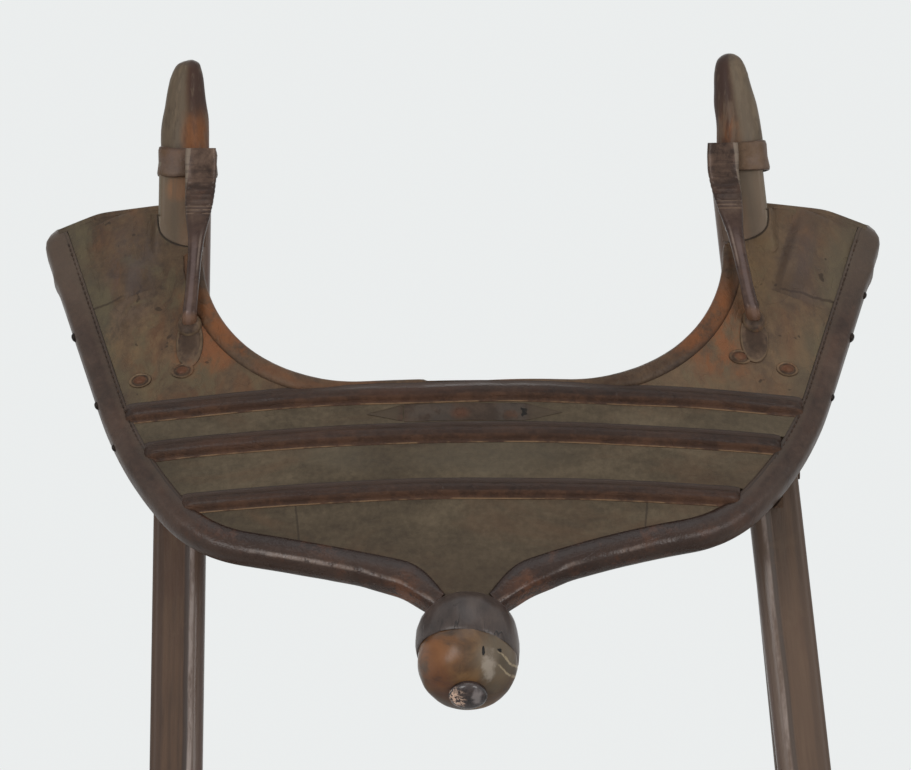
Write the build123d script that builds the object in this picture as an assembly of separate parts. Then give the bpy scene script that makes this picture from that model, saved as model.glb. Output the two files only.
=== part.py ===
"""Camel saddle stool: a bent, ribbed apron board with a pommel, carried on two horned posts.

X runs to the viewer's right, Y away from the viewer, Z up. The origin is on the floor, in the middle of the
stool's box. The apron has a frame of its own: u across, v up along the board, w out of its face. Millimetres.
"""
import os
from math import asin, cos, degrees, radians, sin, tan

from build123d import *

# Apron board, seen square on: half widths from the middle, rises and drops from the dip in its top edge
apron_lean_deg = 30.0
apron_bend_radius = 1066.0
apron_thickness = 14.0
dip_drop_from_crossing = 99.5
dip_half_flat = 73.5
dip_corner_radius = 120.0
wing_half_width = 315.0
wing_corner_rise = 149.0
wing_crest_half_width = 272.0
wing_crest_rise = 163.0
wing_shoulder_half_width = 229.0
wing_shoulder_rise = 162.5
wing_lift_left = 3.5
wing_lift_right = 0.0
flank_half_width = 267.5
belly_turn_half_width_left = 219.0
belly_turn_half_width_right = 214.0
belly_turn_drop = 97.0
belly_half_width = 160.0
belly_drop_left = 137.5
belly_drop_right = 131.0
neck_root_half_width = 47.0
neck_root_drop = 167.5
neck_half_width = 25.0
neck_drop = 183.0

# Leather on the board: the rolled rim, the lip round the dip, three ribs and the covers between them
rim_width = 19.0
rim_front_proud = 5.0
rim_back_proud = 4.0
rim_edge_radius = 6.5
lip_width = 13.0
lip_proud = 4.0
lip_edge_radius = 1.6
lip_end_half_width = 104.0
rib_upper_drop = 10.5
rib_middle_drop = 44.0
rib_lower_drop = 90.0
rib_width = 15.0
rib_proud = 7.0
rib_edge_radius = 4.5
cover_thickness = 1.8
plate_half_length = 70.0
plate_half_height = 7.0
plate_taper = 34.0
plate_drop = 27.5
plate_thickness = 1.8
wing_roll_half_width = 258.0
wing_roll_width = 30.0
wing_roll_length = 68.0
wing_roll_proud = 5.0
wing_roll_edge_radius = 3.5
wing_roll_tilt_deg = 14.0
wing_roll_top_gap = 6.0

# Pommel on the neck, turned about its own axis
pommel_out_deg = 10.0
pommel_root_depth = 8.0
cup_base_radius = 26.5
cup_radius = 36.5
cup_shoulder = 15.0
cup_length = 40.0
cup_wall = 4.0
cup_floor = 9.0
dome_radius = 35.0
dome_height = 34.0
boss_radius = 12.0
boss_height = 7.0
boss_shank_radius = 5.0
boss_shank_length = 14.0
boss_seat_depth = 1.8
neck_front_radius = 24.0
neck_back_radius = 29.0
neck_length = 72.0
spigot_radius = 12.0
spigot_length = 26.0

# Posts: a flat face, with a round bead down the inner front edge
post_width = 39.0
post_depth = 27.0
post_corner_radius = 5.0
post_bead_radius = 10.0
post_bead_proud = 2.0
post_rake_deg = 6.0
post_crossing_height = 552.0
post_top_rise = 65.0
post_in_left = 207.0
post_in_right = 209.5
post_splay_left_deg = 1.1
post_splay_right_deg = 5.4

# Horns, collars and braces on the posts
horn_length = 78.0
horn_half_width = 18.0
horn_half_depth = 13.0
horn_rise_shares = (0.0, 0.48, 0.78, 0.94, 1.0)
horn_girth_shares = (1.0, 0.9, 0.66, 0.4, 0.16)
horn_lean_left_deg = 2.5
horn_lean_right_deg = 2.5
collar_height = 21.0
collar_wall = 2.6
brace_plate_width = 22.5
brace_plate_thickness = 6.0
brace_plate_length = 36.0
brace_rod_width = 10.0
brace_rod_thickness = 9.0
brace_waist_share = 0.34
brace_top_left = 193.5
brace_top_right = 193.0
brace_foot_left = 201.5
brace_foot_right = 212.5
brace_foot_rise = 50.0
brace_foot_width = 20.0
brace_foot_length = 38.0
brace_foot_thickness = 2.5
brace_boss_radius = 8.0
brace_boss_height = 5.0

# Rivets through the wings into the blocks that tie the board to the posts
rivet_head_radius = 6.0
rivet_head_height = 2.5
rivet_shank_radius = 2.5
rivet_length = 34.0
rivet_inner_left_out = 205.0
rivet_inner_left_rise = 20.5
rivet_outer_left_out = 236.0
rivet_outer_left_rise = 16.5
rivet_inner_right_out = 201.0
rivet_inner_right_rise = 27.0
rivet_outer_right_out = 235.5
rivet_outer_right_rise = 20.5
block_width = 66.0
block_height = 34.0
block_drop_from_crossing = 86.0
block_out = 12.0
block_let_in = 4.0

# Seat frame behind the apron: rails through the posts, cross bars through the rails, slats on top
rail_thickness = 18.0
rail_height = 46.0
rail_top_height = 404.0
rail_back_overhang = 26.0
back_leg_setback = 205.0
back_leg_outset = 15.0
back_leg_width = 36.0
back_leg_depth = 28.0
back_leg_top_height = 432.0
back_leg_edge = 3.0
cross_bar_thickness = 16.0
cross_bar_height = 24.0
cross_bar_overhang = 9.0
front_bar_setback = 34.0
back_bar_setback = 152.0
slat_width = 32.0
slat_thickness = 10.0
slat_overhang = 8.0
slat_edge_radius = 3.0
front_slat_forward = 50.0
back_slat_setback = 33.0
back_slat_pitch = 39.0
back_slat_count = 4
peg_radius = 4.5
peg_proud = 2.5

# Clearances and overruns
joint_clearance = 0.15
seat_clearance = 0.3
cut_overrun = 10.0
reach = 900.0

# Where the apron's frame stands: its front face meets the posts' front faces at the crossing height
dip_height = post_crossing_height - dip_drop_from_crossing
post_top_height = post_crossing_height + post_top_rise
block_rise_height = post_crossing_height - block_drop_from_crossing
post_half_depth = post_depth / 2
lean = radians(apron_lean_deg)
crossing_sag = post_in_left ** 2 / (2 * apron_bend_radius)
crossing_rise = (post_crossing_height - dip_height + crossing_sag * sin(lean)) / cos(lean)
dip_setback = -post_half_depth - crossing_rise * sin(lean) - crossing_sag * cos(lean)
apron = Plane(origin=(0, dip_setback, dip_height), x_dir=(1, 0, 0), z_dir=(0, -cos(lean), sin(lean)))

SIDES = {
    "left": (-1, post_in_left, post_splay_left_deg, horn_lean_left_deg, brace_top_left, brace_foot_left,
             ((rivet_inner_left_out, rivet_inner_left_rise),
              (rivet_outer_left_out, rivet_outer_left_rise))),
    "right": (1, post_in_right, post_splay_right_deg, horn_lean_right_deg, brace_top_right, brace_foot_right,
              ((rivet_inner_right_out, rivet_inner_right_rise),
               (rivet_outer_right_out, rivet_outer_right_rise))),
}


def to_stool(shape):
    """Move a shape from the apron's own frame into the stool's frame."""
    return apron.location * shape


def on_face(u, v, w):
    """A place on the bent face of the apron, turned square to it, w out of the leather's seat."""
    turn = asin(u / apron_bend_radius)
    radius = apron_bend_radius + w
    place = Pos(radius * sin(turn), v, radius * cos(turn) - apron_bend_radius)
    return place * Rot(0, degrees(turn), 0)


def layer(region, low, high):
    """Bend a flat region into a layer of the apron, between two heights over its face."""
    prism = extrude(region, amount=wing_half_width, both=True)
    axis = Pos(0, 0, -apron_bend_radius) * Rot(90, 0, 0)
    outer = axis * Cylinder(apron_bend_radius + high, reach)
    inner = axis * Cylinder(apron_bend_radius + low, reach + cut_overrun)
    return prism & (outer - inner)


def strip(low, high, half_width=wing_half_width):
    """A level strip of the apron between two rises."""
    return Pos(0, (low + high) / 2) * Rectangle(2 * half_width, high - low)


# Outline of the apron

wing_lifts = {-1: wing_lift_left, 1: wing_lift_right}
belly_drops = {-1: belly_drop_left, 1: belly_drop_right}
belly_turns = {-1: belly_turn_half_width_left, 1: belly_turn_half_width_right}


def half_edge(side):
    """One half of the outer edge, from the wing's corner down to the neck."""
    flank = Line((side * wing_half_width, wing_corner_rise + wing_lifts[side]), (side * flank_half_width, 0))
    hip = TangentArc(flank @ 1, (side * belly_turns[side], -belly_turn_drop), tangent=flank % 1)
    turn = TangentArc(hip @ 1, (side * belly_half_width, -belly_drops[side]), tangent=hip % 1)
    belly = TangentArc(turn @ 1, (side * neck_root_half_width, -neck_root_drop), tangent=turn % 1)
    neck = Line(belly @ 1, (side * neck_half_width, -neck_drop))
    return [flank, hip, turn, belly, neck]


def half_top(side):
    """One half of the top edge, from the middle of the dip round to the wing's corner."""
    dip_side = dip_half_flat + dip_corner_radius
    flat = Line((0, 0), (side * dip_half_flat, 0))
    corner = TangentArc(flat @ 1, (side * dip_side, dip_corner_radius), tangent=flat % 1)
    lift = wing_lifts[side]
    shoulder = Line(corner @ 1, (side * wing_shoulder_half_width, wing_shoulder_rise + lift))
    crest = Line(shoulder @ 1, (side * wing_crest_half_width, wing_crest_rise + lift))
    top = Line(crest @ 1, (side * wing_half_width, wing_corner_rise + lift))
    return [flat, corner, shoulder, crest, top]


def outline():
    """The whole face of the apron, with its rim, seen square on."""
    edges = half_edge(1) + half_edge(-1) + half_top(1) + half_top(-1)
    edges.append(Line((-neck_half_width, -neck_drop), (neck_half_width, -neck_drop)))
    return make_face(edges)


def rim_band(side):
    """The strip that the rolled rim takes up along one half of the outer edge."""
    edge = Wire(half_edge(side)[:4])
    top, tail = edge @ 0, edge @ 1
    inner = edge.offset_2d(rim_width, side=Side.LEFT if side < 0 else Side.RIGHT, closed=False)
    caps = [Line(top, inner @ 0), Line(tail, inner @ 1)]
    if (inner @ 0 - top).length > (inner @ 1 - top).length:
        caps = [Line(top, inner @ 1), Line(tail, inner @ 0)]
    return make_face([*edge.edges(), *inner.edges(), *caps])


whole = outline()
rims = {name: rim_band(values[0]) for name, values in SIDES.items()}
rim_rooms = {name: offset(rim, amount=seat_clearance) for name, rim in rims.items()}
inside = whole - rim_rooms["left"] - rim_rooms["right"]
dip_side = dip_half_flat + dip_corner_radius
rib_drops = (rib_upper_drop, rib_middle_drop, rib_lower_drop)
rib_tops = [-drop + rib_width / 2 for drop in rib_drops]
rib_feet = [-drop - rib_width / 2 for drop in rib_drops]
ribs = [inside & strip(foot, top) for foot, top in zip(rib_feet, rib_tops)]


def lip_region(side):
    """The band up one side of the dip that a raised lip covers, from the first rib up."""
    wide = dip_side + lip_width
    tall = 2 * (dip_corner_radius + lip_width)
    hole = Pos(0, tall / 2 - lip_width) * Rectangle(2 * wide, tall)
    hole = fillet(hole.vertices().group_by(Axis.Y)[0], dip_corner_radius + lip_width)
    half = Pos(side * (lip_end_half_width + reach / 2), reach / 2 + rib_tops[0]) * Rectangle(reach, reach)
    return inside & hole & half


lips = {name: lip_region(values[0]) for name, values in SIDES.items()}


def rolled(shape, longest, radius):
    """Round off the long edges of a bent strip of leather."""
    edges = [edge for edge in shape.edges() if edge.length > longest]
    return fillet(edges, radius)


def raised(region, low, proud, radius, shortest):
    """A strip of leather standing on the board, with its long upper edges rounded."""
    strip_solid = layer(region, low + seat_clearance, low + proud)
    crown = apron_bend_radius + low + proud
    upper = [edge for edge in strip_solid.edges() if edge.length > shortest and on_crown(edge, crown)]
    return fillet(upper, radius)


def on_crown(edge, crown):
    """Whether an edge lies on the top face of a bent strip."""
    middle = edge @ 0.5
    return abs((middle.X ** 2 + (middle.Z + apron_bend_radius) ** 2) ** 0.5 - crown) < joint_clearance


# Posts, horns, collars and braces

def post_section(side, grow=0):
    """A post's section: a flat bar with a bead on its inner front corner."""
    bar = Pos(side * post_bead_proud / 2, 0) * RectangleRounded(
        post_width - post_bead_proud, post_depth, post_corner_radius)
    bead_x = -side * (post_width / 2 - post_bead_radius)
    section = bar + Pos(bead_x, post_bead_radius - post_half_depth - post_bead_proud) * Circle(post_bead_radius)
    return offset(section, amount=grow) if grow else section


def slab(low, high):
    """All the space between two heights over the floor."""
    return Pos(0, 0, (low + high) / 2) * Box(reach, reach, high - low)


def post_place(side, inset, splay):
    """The line of a post, through the middle of its crossing with the board."""
    return Pos(side * inset, 0, post_crossing_height) * Rot(-post_rake_deg, -side * splay, 0)


def post_bar(side, inset, splay, low, high, grow=0):
    """A length of a post, cut level at both ends."""
    bar = post_place(side, inset, splay) * extrude(post_section(side, grow), amount=reach, both=True)
    return bar & slab(low, high)


def post_line(side, inset, splay, height):
    """Where the line of a post passes at a height over the floor."""
    up = height - post_crossing_height
    return side * (inset - up * tan(radians(splay))), up * tan(radians(post_rake_deg))


def horn(side, inset, splay, horn_lean):
    """The carved tip on a post: round sections that lean inwards and narrow to a point."""
    x, y = post_line(side, inset, splay, post_top_height)
    sections = []
    for rise, girth in zip(horn_rise_shares, horn_girth_shares):
        up = rise * horn_length
        inward, back = up * tan(radians(horn_lean)), up * tan(radians(post_rake_deg))
        place = Pos(x - side * inward, y + back, post_top_height + up)
        sections.append(place * Ellipse(horn_half_width * girth, horn_half_depth * girth))
    return loft(sections) - collar(side, inset, splay, joint_clearance)


def collar(side, inset, splay, ease=0):
    """The leather band round the joint between a post and its horn."""
    low, high = post_top_height - collar_height / 2, post_top_height + collar_height / 2
    outer = post_bar(side, inset, splay, low - ease, high + ease, collar_wall + joint_clearance + ease)
    inner = post_bar(side, inset, splay, low - cut_overrun, high + cut_overrun, joint_clearance - ease)
    return outer - inner


def brace_foot(side, foot_x, grow=0):
    """The oval plate and round boss that seat a brace on the wing."""
    place = on_face(side * foot_x, brace_foot_rise, cover_thickness + joint_clearance)
    height = brace_foot_thickness + brace_boss_height + grow
    oval = extrude(Ellipse(brace_foot_width / 2, brace_foot_length / 2), amount=brace_foot_thickness)
    boss = Pos(0, brace_foot_length / 4, height / 2) * Cylinder(brace_boss_radius + grow, height)
    return to_stool(place * (oval + boss))


def brace(side, inset, splay, top_x, foot_x):
    """A brace: a plate against the collar, drawn out to a rod that comes down on the wing."""
    stand = cover_thickness + brace_foot_thickness + brace_boss_height
    foot = to_stool(on_face(side * foot_x, brace_foot_rise, stand) * Pos(0, brace_foot_length / 4, 0))
    top = post_top_height + collar_height / 2
    bottom = foot.position.Z - brace_rod_thickness / 2
    front_step = post_half_depth + post_bead_proud + collar_wall + 2 * seat_clearance
    front_step = front_step / cos(radians(post_rake_deg))
    plate_foot = top - brace_plate_length
    waist = plate_foot - brace_waist_share * (plate_foot - bottom)
    heights = (top, top - collar_height, plate_foot, waist, bottom)
    widths = (brace_plate_width, brace_plate_width, brace_plate_width, brace_rod_width, brace_rod_width)
    depths = (brace_plate_thickness, brace_plate_thickness) + 3 * (brace_rod_thickness,)
    bend_y = post_line(side, inset, splay, top - collar_height)[1] - front_step - brace_plate_thickness / 2
    end_y = foot.position.Y - brace_rod_thickness / 2
    sections = []
    for height, width, depth in zip(heights, widths, depths):
        share = max(0, (top - collar_height - height) / (top - collar_height - bottom))
        y = bend_y + share * (end_y - bend_y)
        if not share:
            y = post_line(side, inset, splay, height)[1] - front_step - depth / 2
        x = side * (top_x + share * (foot_x - top_x))
        sections.append(Pos(x, y, height) * RectangleRounded(width, depth, depth / 3))
    return loft(sections, ruled=True) - brace_foot(side, foot_x, seat_clearance)


# Blocks and rivets

def rivet(side, place):
    """A rivet through the wing: a low round head on a shank."""
    head = Pos(0, 0, rivet_head_height / 2) * Cylinder(rivet_head_radius, rivet_head_height)
    head = fillet(head.edges().group_by(Axis.Z)[-1], rivet_head_height / 2)
    shank = Pos(0, 0, -rivet_length / 2) * Cylinder(rivet_shank_radius, rivet_length)
    return to_stool(on_face(side * place[0], place[1], cover_thickness + joint_clearance) * (head + shank))


def rivet_hole(side, place):
    """The hole that a rivet's shank fills."""
    hole = Cylinder(rivet_shank_radius + joint_clearance, rivet_length + cut_overrun)
    hole = Pos(0, 0, -rivet_length / 2) * hole
    return to_stool(on_face(side * place[0], place[1], cover_thickness) * hole)


front_space = to_stool(layer(strip(-reach / 2, reach / 2, wing_half_width + cut_overrun),
                             -apron_thickness - seat_clearance, wing_half_width))


def block(side, inset, splay):
    """The block that ties the back of a wing to the front of its post."""
    x, y = post_line(side, inset, splay, block_rise_height)
    back = y - post_half_depth + block_let_in
    front = dip_setback - block_width
    body = Box(block_width, back - front, block_height)
    body = Pos(x + side * block_out, (front + back) / 2, block_rise_height) * body
    return body - front_space - post_bar(side, inset, splay, 0, post_top_height, joint_clearance)


# Seat frame

rail_mid = rail_top_height - rail_height / 2


def leg_line(side, inset, splay, height):
    """Where the line of a back leg passes at a height over the floor."""
    up = height - rail_mid
    x = post_line(side, inset, splay, rail_mid)[0] + side * back_leg_outset
    return x - side * up * tan(radians(splay)), back_leg_setback - up * tan(radians(post_rake_deg))


def rail_x(side, inset, splay, setback):
    """How far out the middle of a side rail is, at a distance behind the origin line."""
    x1, y1 = post_line(side, inset, splay, rail_mid)
    x2, y2 = leg_line(side, inset, splay, rail_mid)
    return x1 + (setback - y1) * (x2 - x1) / (y2 - y1)


def side_rail(side, inset, splay, grow=0):
    """A side rail, through its post and back leg, before its ends and joints are cut."""
    x1, y1 = post_line(side, inset, splay, rail_mid)
    x2, y2 = leg_line(side, inset, splay, rail_mid)
    front = 2 * dip_setback
    back = y2 + back_leg_depth / 2 + rail_back_overhang
    turn = degrees(asin((x2 - x1) / (y2 - y1)))
    middle = (front + back) / 2
    place = Pos(rail_x(side, inset, splay, middle), middle, rail_mid) * Rot(0, 0, -turn)
    return place * Box(rail_thickness + 2 * grow, back - front, rail_height + 2 * grow)


def back_leg(side, inset, splay):
    """A back leg: a plain bar, raked the other way, with its top edges taken off."""
    x, y = leg_line(side, inset, splay, rail_mid)
    place = Pos(x, y, rail_mid) * Rot(post_rake_deg, -side * splay, 0)
    section = RectangleRounded(back_leg_width, back_leg_depth, post_corner_radius)
    leg = (place * extrude(section, amount=reach / 2, both=True)) & slab(0, back_leg_top_height)
    return chamfer(leg.edges().group_by(Axis.Z)[-1], back_leg_edge)


def peg(place, grow=0):
    """A round peg across a post or leg, through the rail in it."""
    length = post_width + 2 * peg_proud
    return Pos(place[0], place[1], rail_mid) * Rot(0, 90, 0) * Cylinder(peg_radius + grow, length + 2 * grow)


def cross_piece(ends, setback, overhang, thickness, height, middle_height, grow=0):
    """A level bar across the two side rails."""
    low = ends["left"](setback) - rail_thickness / 2 - overhang
    high = ends["right"](setback) + rail_thickness / 2 + overhang
    bar = Box(high - low, thickness + 2 * grow, height + 2 * grow)
    return Pos((low + high) / 2, setback, middle_height) * bar


# Pommel, turned about its own axis and set on the neck

pommel_drop = neck_drop + (pommel_root_depth + cover_thickness) * tan(radians(pommel_out_deg)) + seat_clearance
pommel_place = apron.location * Pos(0, -pommel_drop, -pommel_root_depth) * Rot(90 - pommel_out_deg, 0, 0)


def turned(points, arc_from=None, arc_through=None, arc_to=None):
    """Turn a half section about the pommel's axis, with one arc in it where it is asked for."""
    lines = [Line(a, b) for a, b in zip(points, points[1:])]
    if arc_from:
        lines.append(ThreePointArc(arc_from, arc_through, arc_to))
    return revolve(Plane.XZ * make_face(lines), Axis.Z)


def pommel_cup():
    """The cup that grips the end of the neck and the root of the dome."""
    inner = cup_radius - cup_wall
    hole = spigot_radius + joint_clearance
    swell = cup_base_radius + (cup_radius - cup_base_radius) * sin(radians(50))
    shoulder = cup_shoulder * (1 - cos(radians(50)))
    points = [(cup_radius, cup_shoulder), (cup_radius, cup_length), (inner, cup_length), (inner, cup_floor),
              (hole, cup_floor), (hole, 0), (cup_base_radius, 0)]
    return turned(points, (cup_base_radius, 0), (swell, shoulder), (cup_radius, cup_shoulder))


def pommel_dome():
    """The polished dome, with a root that fills the cup and a flat for the boss."""
    root = cup_radius - cup_wall - joint_clearance
    low = cup_floor + joint_clearance
    lip_height = cup_length + joint_clearance
    top = cup_length + dome_height
    points = [(0, top), (0, low), (root, low), (root, lip_height), (dome_radius, lip_height)]
    shoulder = (dome_radius * cos(radians(45)), lip_height + (top - lip_height) * sin(radians(45)))
    dome = turned(points, (dome_radius, lip_height), shoulder, (0, top))
    spigot_hole = Cylinder(spigot_radius + joint_clearance, spigot_length + 2 * seat_clearance)
    spigot_hole = Pos(0, 0, spigot_length / 2) * spigot_hole
    seat = top - boss_seat_depth
    shank_hole = Pos(0, 0, seat - boss_shank_length / 2) * Cylinder(
        boss_shank_radius + joint_clearance, boss_shank_length + 2 * joint_clearance)
    cap = Pos(0, 0, seat + boss_height) * Cylinder(dome_radius, 2 * boss_height)
    return dome - spigot_hole - shank_hole - cap


def pommel_boss():
    """The dark stud let into the pole of the dome."""
    seat = cup_length + dome_height - boss_seat_depth
    head = Pos(0, 0, seat + boss_height / 2) * Cylinder(boss_radius, boss_height)
    head = fillet(head.edges().group_by(Axis.Z)[-1], boss_height * 0.9)
    return head + Pos(0, 0, seat - boss_shank_length / 2) * Cylinder(boss_shank_radius, boss_shank_length)


def pommel_neck():
    """The neck under the tongue of the board, and the spigot that carries the pommel."""
    cone = Pos(0, 0, -neck_length / 2) * Cone(neck_back_radius, neck_front_radius, neck_length)
    neck = pommel_place * cone - front_space
    return neck + pommel_place * Pos(0, 0, spigot_length / 2) * Cylinder(spigot_radius, spigot_length)


def plate_region():
    """The long mending plate, pointed at both ends."""
    flat = plate_half_length - plate_taper
    points = [(-plate_half_length, 0), (-flat, plate_half_height), (flat, plate_half_height),
              (plate_half_length, 0), (flat, -plate_half_height), (-flat, -plate_half_height)]
    return Pos(0, -plate_drop) * make_face(Polyline(*points, close=True))


def wing_roll_region(side):
    """The padded fold that stands down the upper part of a wing."""
    top = wing_crest_rise - wing_roll_top_gap
    roll = Rectangle(wing_roll_width, wing_roll_length)
    place = Pos(side * wing_roll_half_width, top - wing_roll_length / 2)
    return place * Rot(0, 0, -side * wing_roll_tilt_deg) * roll


# Assembly

nodes = {}
covering = inside - offset(lips["left"], amount=seat_clearance) - offset(lips["right"], amount=seat_clearance)
board = to_stool(layer(inside, -apron_thickness, 0))
bands = {
    "cover_upper": (rib_feet[0], rib_tops[1]),
    "cover_middle": (rib_feet[1], rib_tops[2]),
    "cover_apron": (rib_feet[2], -reach / 2),
}
for name, (high, low) in bands.items():
    nodes[name] = to_stool(layer(covering & strip(low, high), seat_clearance, cover_thickness))
for name, region in zip(("rib_upper", "rib_middle", "rib_lower"), ribs):
    nodes[name] = to_stool(raised(region, 0, rib_proud, rib_edge_radius, 2 * rib_width))
nodes["mending_plate"] = to_stool(
    layer(plate_region(), cover_thickness + seat_clearance, cover_thickness + plate_thickness))
rail_lines = {}

for name, (side, inset, splay, horn_lean, top_x, foot_x, rivets) in SIDES.items():
    half = Pos(side * (lip_end_half_width + reach / 2), rib_tops[0] + reach / 2) * Rectangle(reach, reach)
    wing_cover = to_stool(layer(covering & half, seat_clearance, cover_thickness))
    post_room = post_bar(side, inset, splay, 0, post_top_height, seat_clearance)
    rim = layer(rims[name], -apron_thickness - rim_back_proud, rim_front_proud)
    rim = rolled(rim, 2 * rim_width, rim_edge_radius)
    nodes[f"rim_{name}"] = to_stool(rim) - post_room
    post = post_bar(side, inset, splay, 0, post_top_height)
    leg = back_leg(side, inset, splay)
    rail = side_rail(side, inset, splay) - front_space
    rim_room = to_stool(layer(rim_rooms[name], -apron_thickness - rim_back_proud - seat_clearance, 0))
    rail = rail - rim_room
    tie = block(side, inset, splay) - rim_room
    holes = [rivet_hole(side, place) for place in rivets]
    pegs = [post_line(side, inset, splay, rail_mid), leg_line(side, inset, splay, rail_mid)]
    peg_holes = [peg(place, joint_clearance) for place in pegs]
    mortise = side_rail(side, inset, splay, joint_clearance)
    nodes[f"post_{name}"] = post - mortise - peg_holes[0]
    nodes[f"back_leg_{name}"] = leg - mortise - peg_holes[1]
    nodes[f"side_rail_{name}"] = rail - peg_holes[0] - peg_holes[1]
    nodes[f"wing_block_{name}"] = tie - holes[0] - holes[1]
    board = board - post_room - holes[0] - holes[1]
    lip = to_stool(raised(lips[name], 0, lip_proud, lip_edge_radius, 2 * lip_width))
    nodes[f"dip_lip_{name}"] = lip - post_room
    nodes[f"wing_cover_{name}"] = wing_cover - post_room - holes[0] - holes[1]
    roll = raised(wing_roll_region(side), cover_thickness, wing_roll_proud, wing_roll_edge_radius,
                  wing_roll_proud)
    nodes[f"wing_roll_{name}"] = to_stool(roll)
    nodes[f"horn_{name}"] = horn(side, inset, splay, horn_lean)
    nodes[f"collar_{name}"] = collar(side, inset, splay)
    nodes[f"brace_{name}"] = brace(side, inset, splay, top_x, foot_x)
    nodes[f"brace_foot_{name}"] = brace_foot(side, foot_x)
    nodes[f"wing_rivets_{name}"] = Compound([rivet(side, place) for place in rivets])
    nodes[f"rail_pegs_{name}"] = Compound([peg(place) for place in pegs])
    rail_lines[name] = lambda setback, values=(side, inset, splay): rail_x(*values, setback)

nodes["apron_board"] = board

for name, setback in zip(("front_cross_bar", "back_cross_bar"), (front_bar_setback, back_bar_setback)):
    sizes = (cross_bar_overhang, cross_bar_thickness, cross_bar_height, rail_mid)
    nodes[name] = cross_piece(rail_lines, setback, *sizes)
    for side_name in SIDES:
        mortise = cross_piece(rail_lines, setback, *sizes, joint_clearance)
        nodes[f"side_rail_{side_name}"] = nodes[f"side_rail_{side_name}"] - mortise

slat_setbacks = [back_slat_setback + back_slat_pitch * n for n in range(back_slat_count)]
slat_setbacks.insert(0, -front_slat_forward)
for number, setback in enumerate(slat_setbacks, start=1):
    slat = cross_piece(rail_lines, setback, slat_overhang, slat_width, slat_thickness,
                       rail_top_height + slat_thickness / 2)
    nodes[f"seat_slat_{number}"] = fillet(slat.edges().filter_by(Axis.X).group_by(Axis.Z)[-1], slat_edge_radius)

nodes["pommel_neck"] = pommel_neck()
nodes["pommel_cup"] = pommel_place * pommel_cup()
nodes["pommel_dome"] = pommel_place * pommel_dome()
nodes["pommel_boss"] = pommel_place * pommel_boss()

# Set the stool's origin on the floor in the middle of its box, and write one file for each piece

extent = Compound([solid for shape in nodes.values() for solid in shape.solids()]).bounding_box()
origin = Pos(-(extent.min.X + extent.max.X) / 2, -(extent.min.Y + extent.max.Y) / 2, 0)
print("box", [round(size) for size in extent.size], "moved by", origin.position)
os.makedirs("parts", exist_ok=True)
for name, shape in nodes.items():
    placed = origin * Compound(shape.solids())
    placed.label = name
    print(name, len(placed.solids()), "solids", round(placed.volume), "mm3")
    export_step(placed, f"parts/{name}.step")
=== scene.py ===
# %% [markdown]
# # A camel saddle stool
# An old saddle's apron, bent and ribbed and covered in hide, hangs between two horned posts with a seat behind them.
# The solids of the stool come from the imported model. This file gives each of them its finish, and makes again the
# pieces whose hand-worked shape plain solids can't hold: rolled hide, carved horns, forged braces, the pommel.

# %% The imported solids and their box
import math

import bmesh
import bpy
import numpy as np
from mathutils import Matrix, Vector, noise


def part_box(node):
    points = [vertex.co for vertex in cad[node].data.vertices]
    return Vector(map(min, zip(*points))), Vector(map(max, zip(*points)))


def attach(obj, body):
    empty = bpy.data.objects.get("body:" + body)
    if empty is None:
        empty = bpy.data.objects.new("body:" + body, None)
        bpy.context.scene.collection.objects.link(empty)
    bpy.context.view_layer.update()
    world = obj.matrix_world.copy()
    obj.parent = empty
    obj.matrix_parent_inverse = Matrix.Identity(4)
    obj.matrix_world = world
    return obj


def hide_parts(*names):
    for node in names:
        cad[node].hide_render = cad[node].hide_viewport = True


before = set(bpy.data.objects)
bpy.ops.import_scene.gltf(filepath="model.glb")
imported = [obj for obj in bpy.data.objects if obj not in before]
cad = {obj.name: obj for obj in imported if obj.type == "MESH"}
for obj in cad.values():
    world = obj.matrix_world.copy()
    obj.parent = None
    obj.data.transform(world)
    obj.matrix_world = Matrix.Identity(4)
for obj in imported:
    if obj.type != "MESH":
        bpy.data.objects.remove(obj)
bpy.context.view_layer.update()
MM = 0.001
SIDES = {"left": -1, "right": 1}
print("solids:", len(cad))

# %% [markdown]
# ## Writing trees of nodes as sums
# The world, the materials and Geometry Nodes are all trees of small nodes. A Python class that wraps one socket and
# knows + - * lets a tree be written as plain arithmetic, and one method makes any other node from its type, its
# settings and the values of its sockets.


# %% Sockets that can be added and multiplied
class Value:
    """A node's output. Every sign adds one Math node."""

    def __init__(self, net, socket):
        self.net, self.socket = net, socket

    def sum(self, operation, a, b=0.0, clamp=False):
        return self.net.node("ShaderNodeMath", {"operation": operation, "use_clamp": clamp}, [a, b])

    def __add__(self, other):
        return self.sum("ADD", self, other)

    def __sub__(self, other):
        return self.sum("SUBTRACT", self, other)

    def __rsub__(self, other):
        return self.sum("SUBTRACT", other, self)

    def __mul__(self, other):
        return self.sum("MULTIPLY", self, other)

    __radd__, __rmul__ = __add__, __mul__

    def high(self, other):
        return self.sum("MAXIMUM", self, other)

    def size(self):
        return self.sum("ABSOLUTE", self)

    def clamp(self):
        return self.sum("ADD", self, clamp=True)


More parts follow.
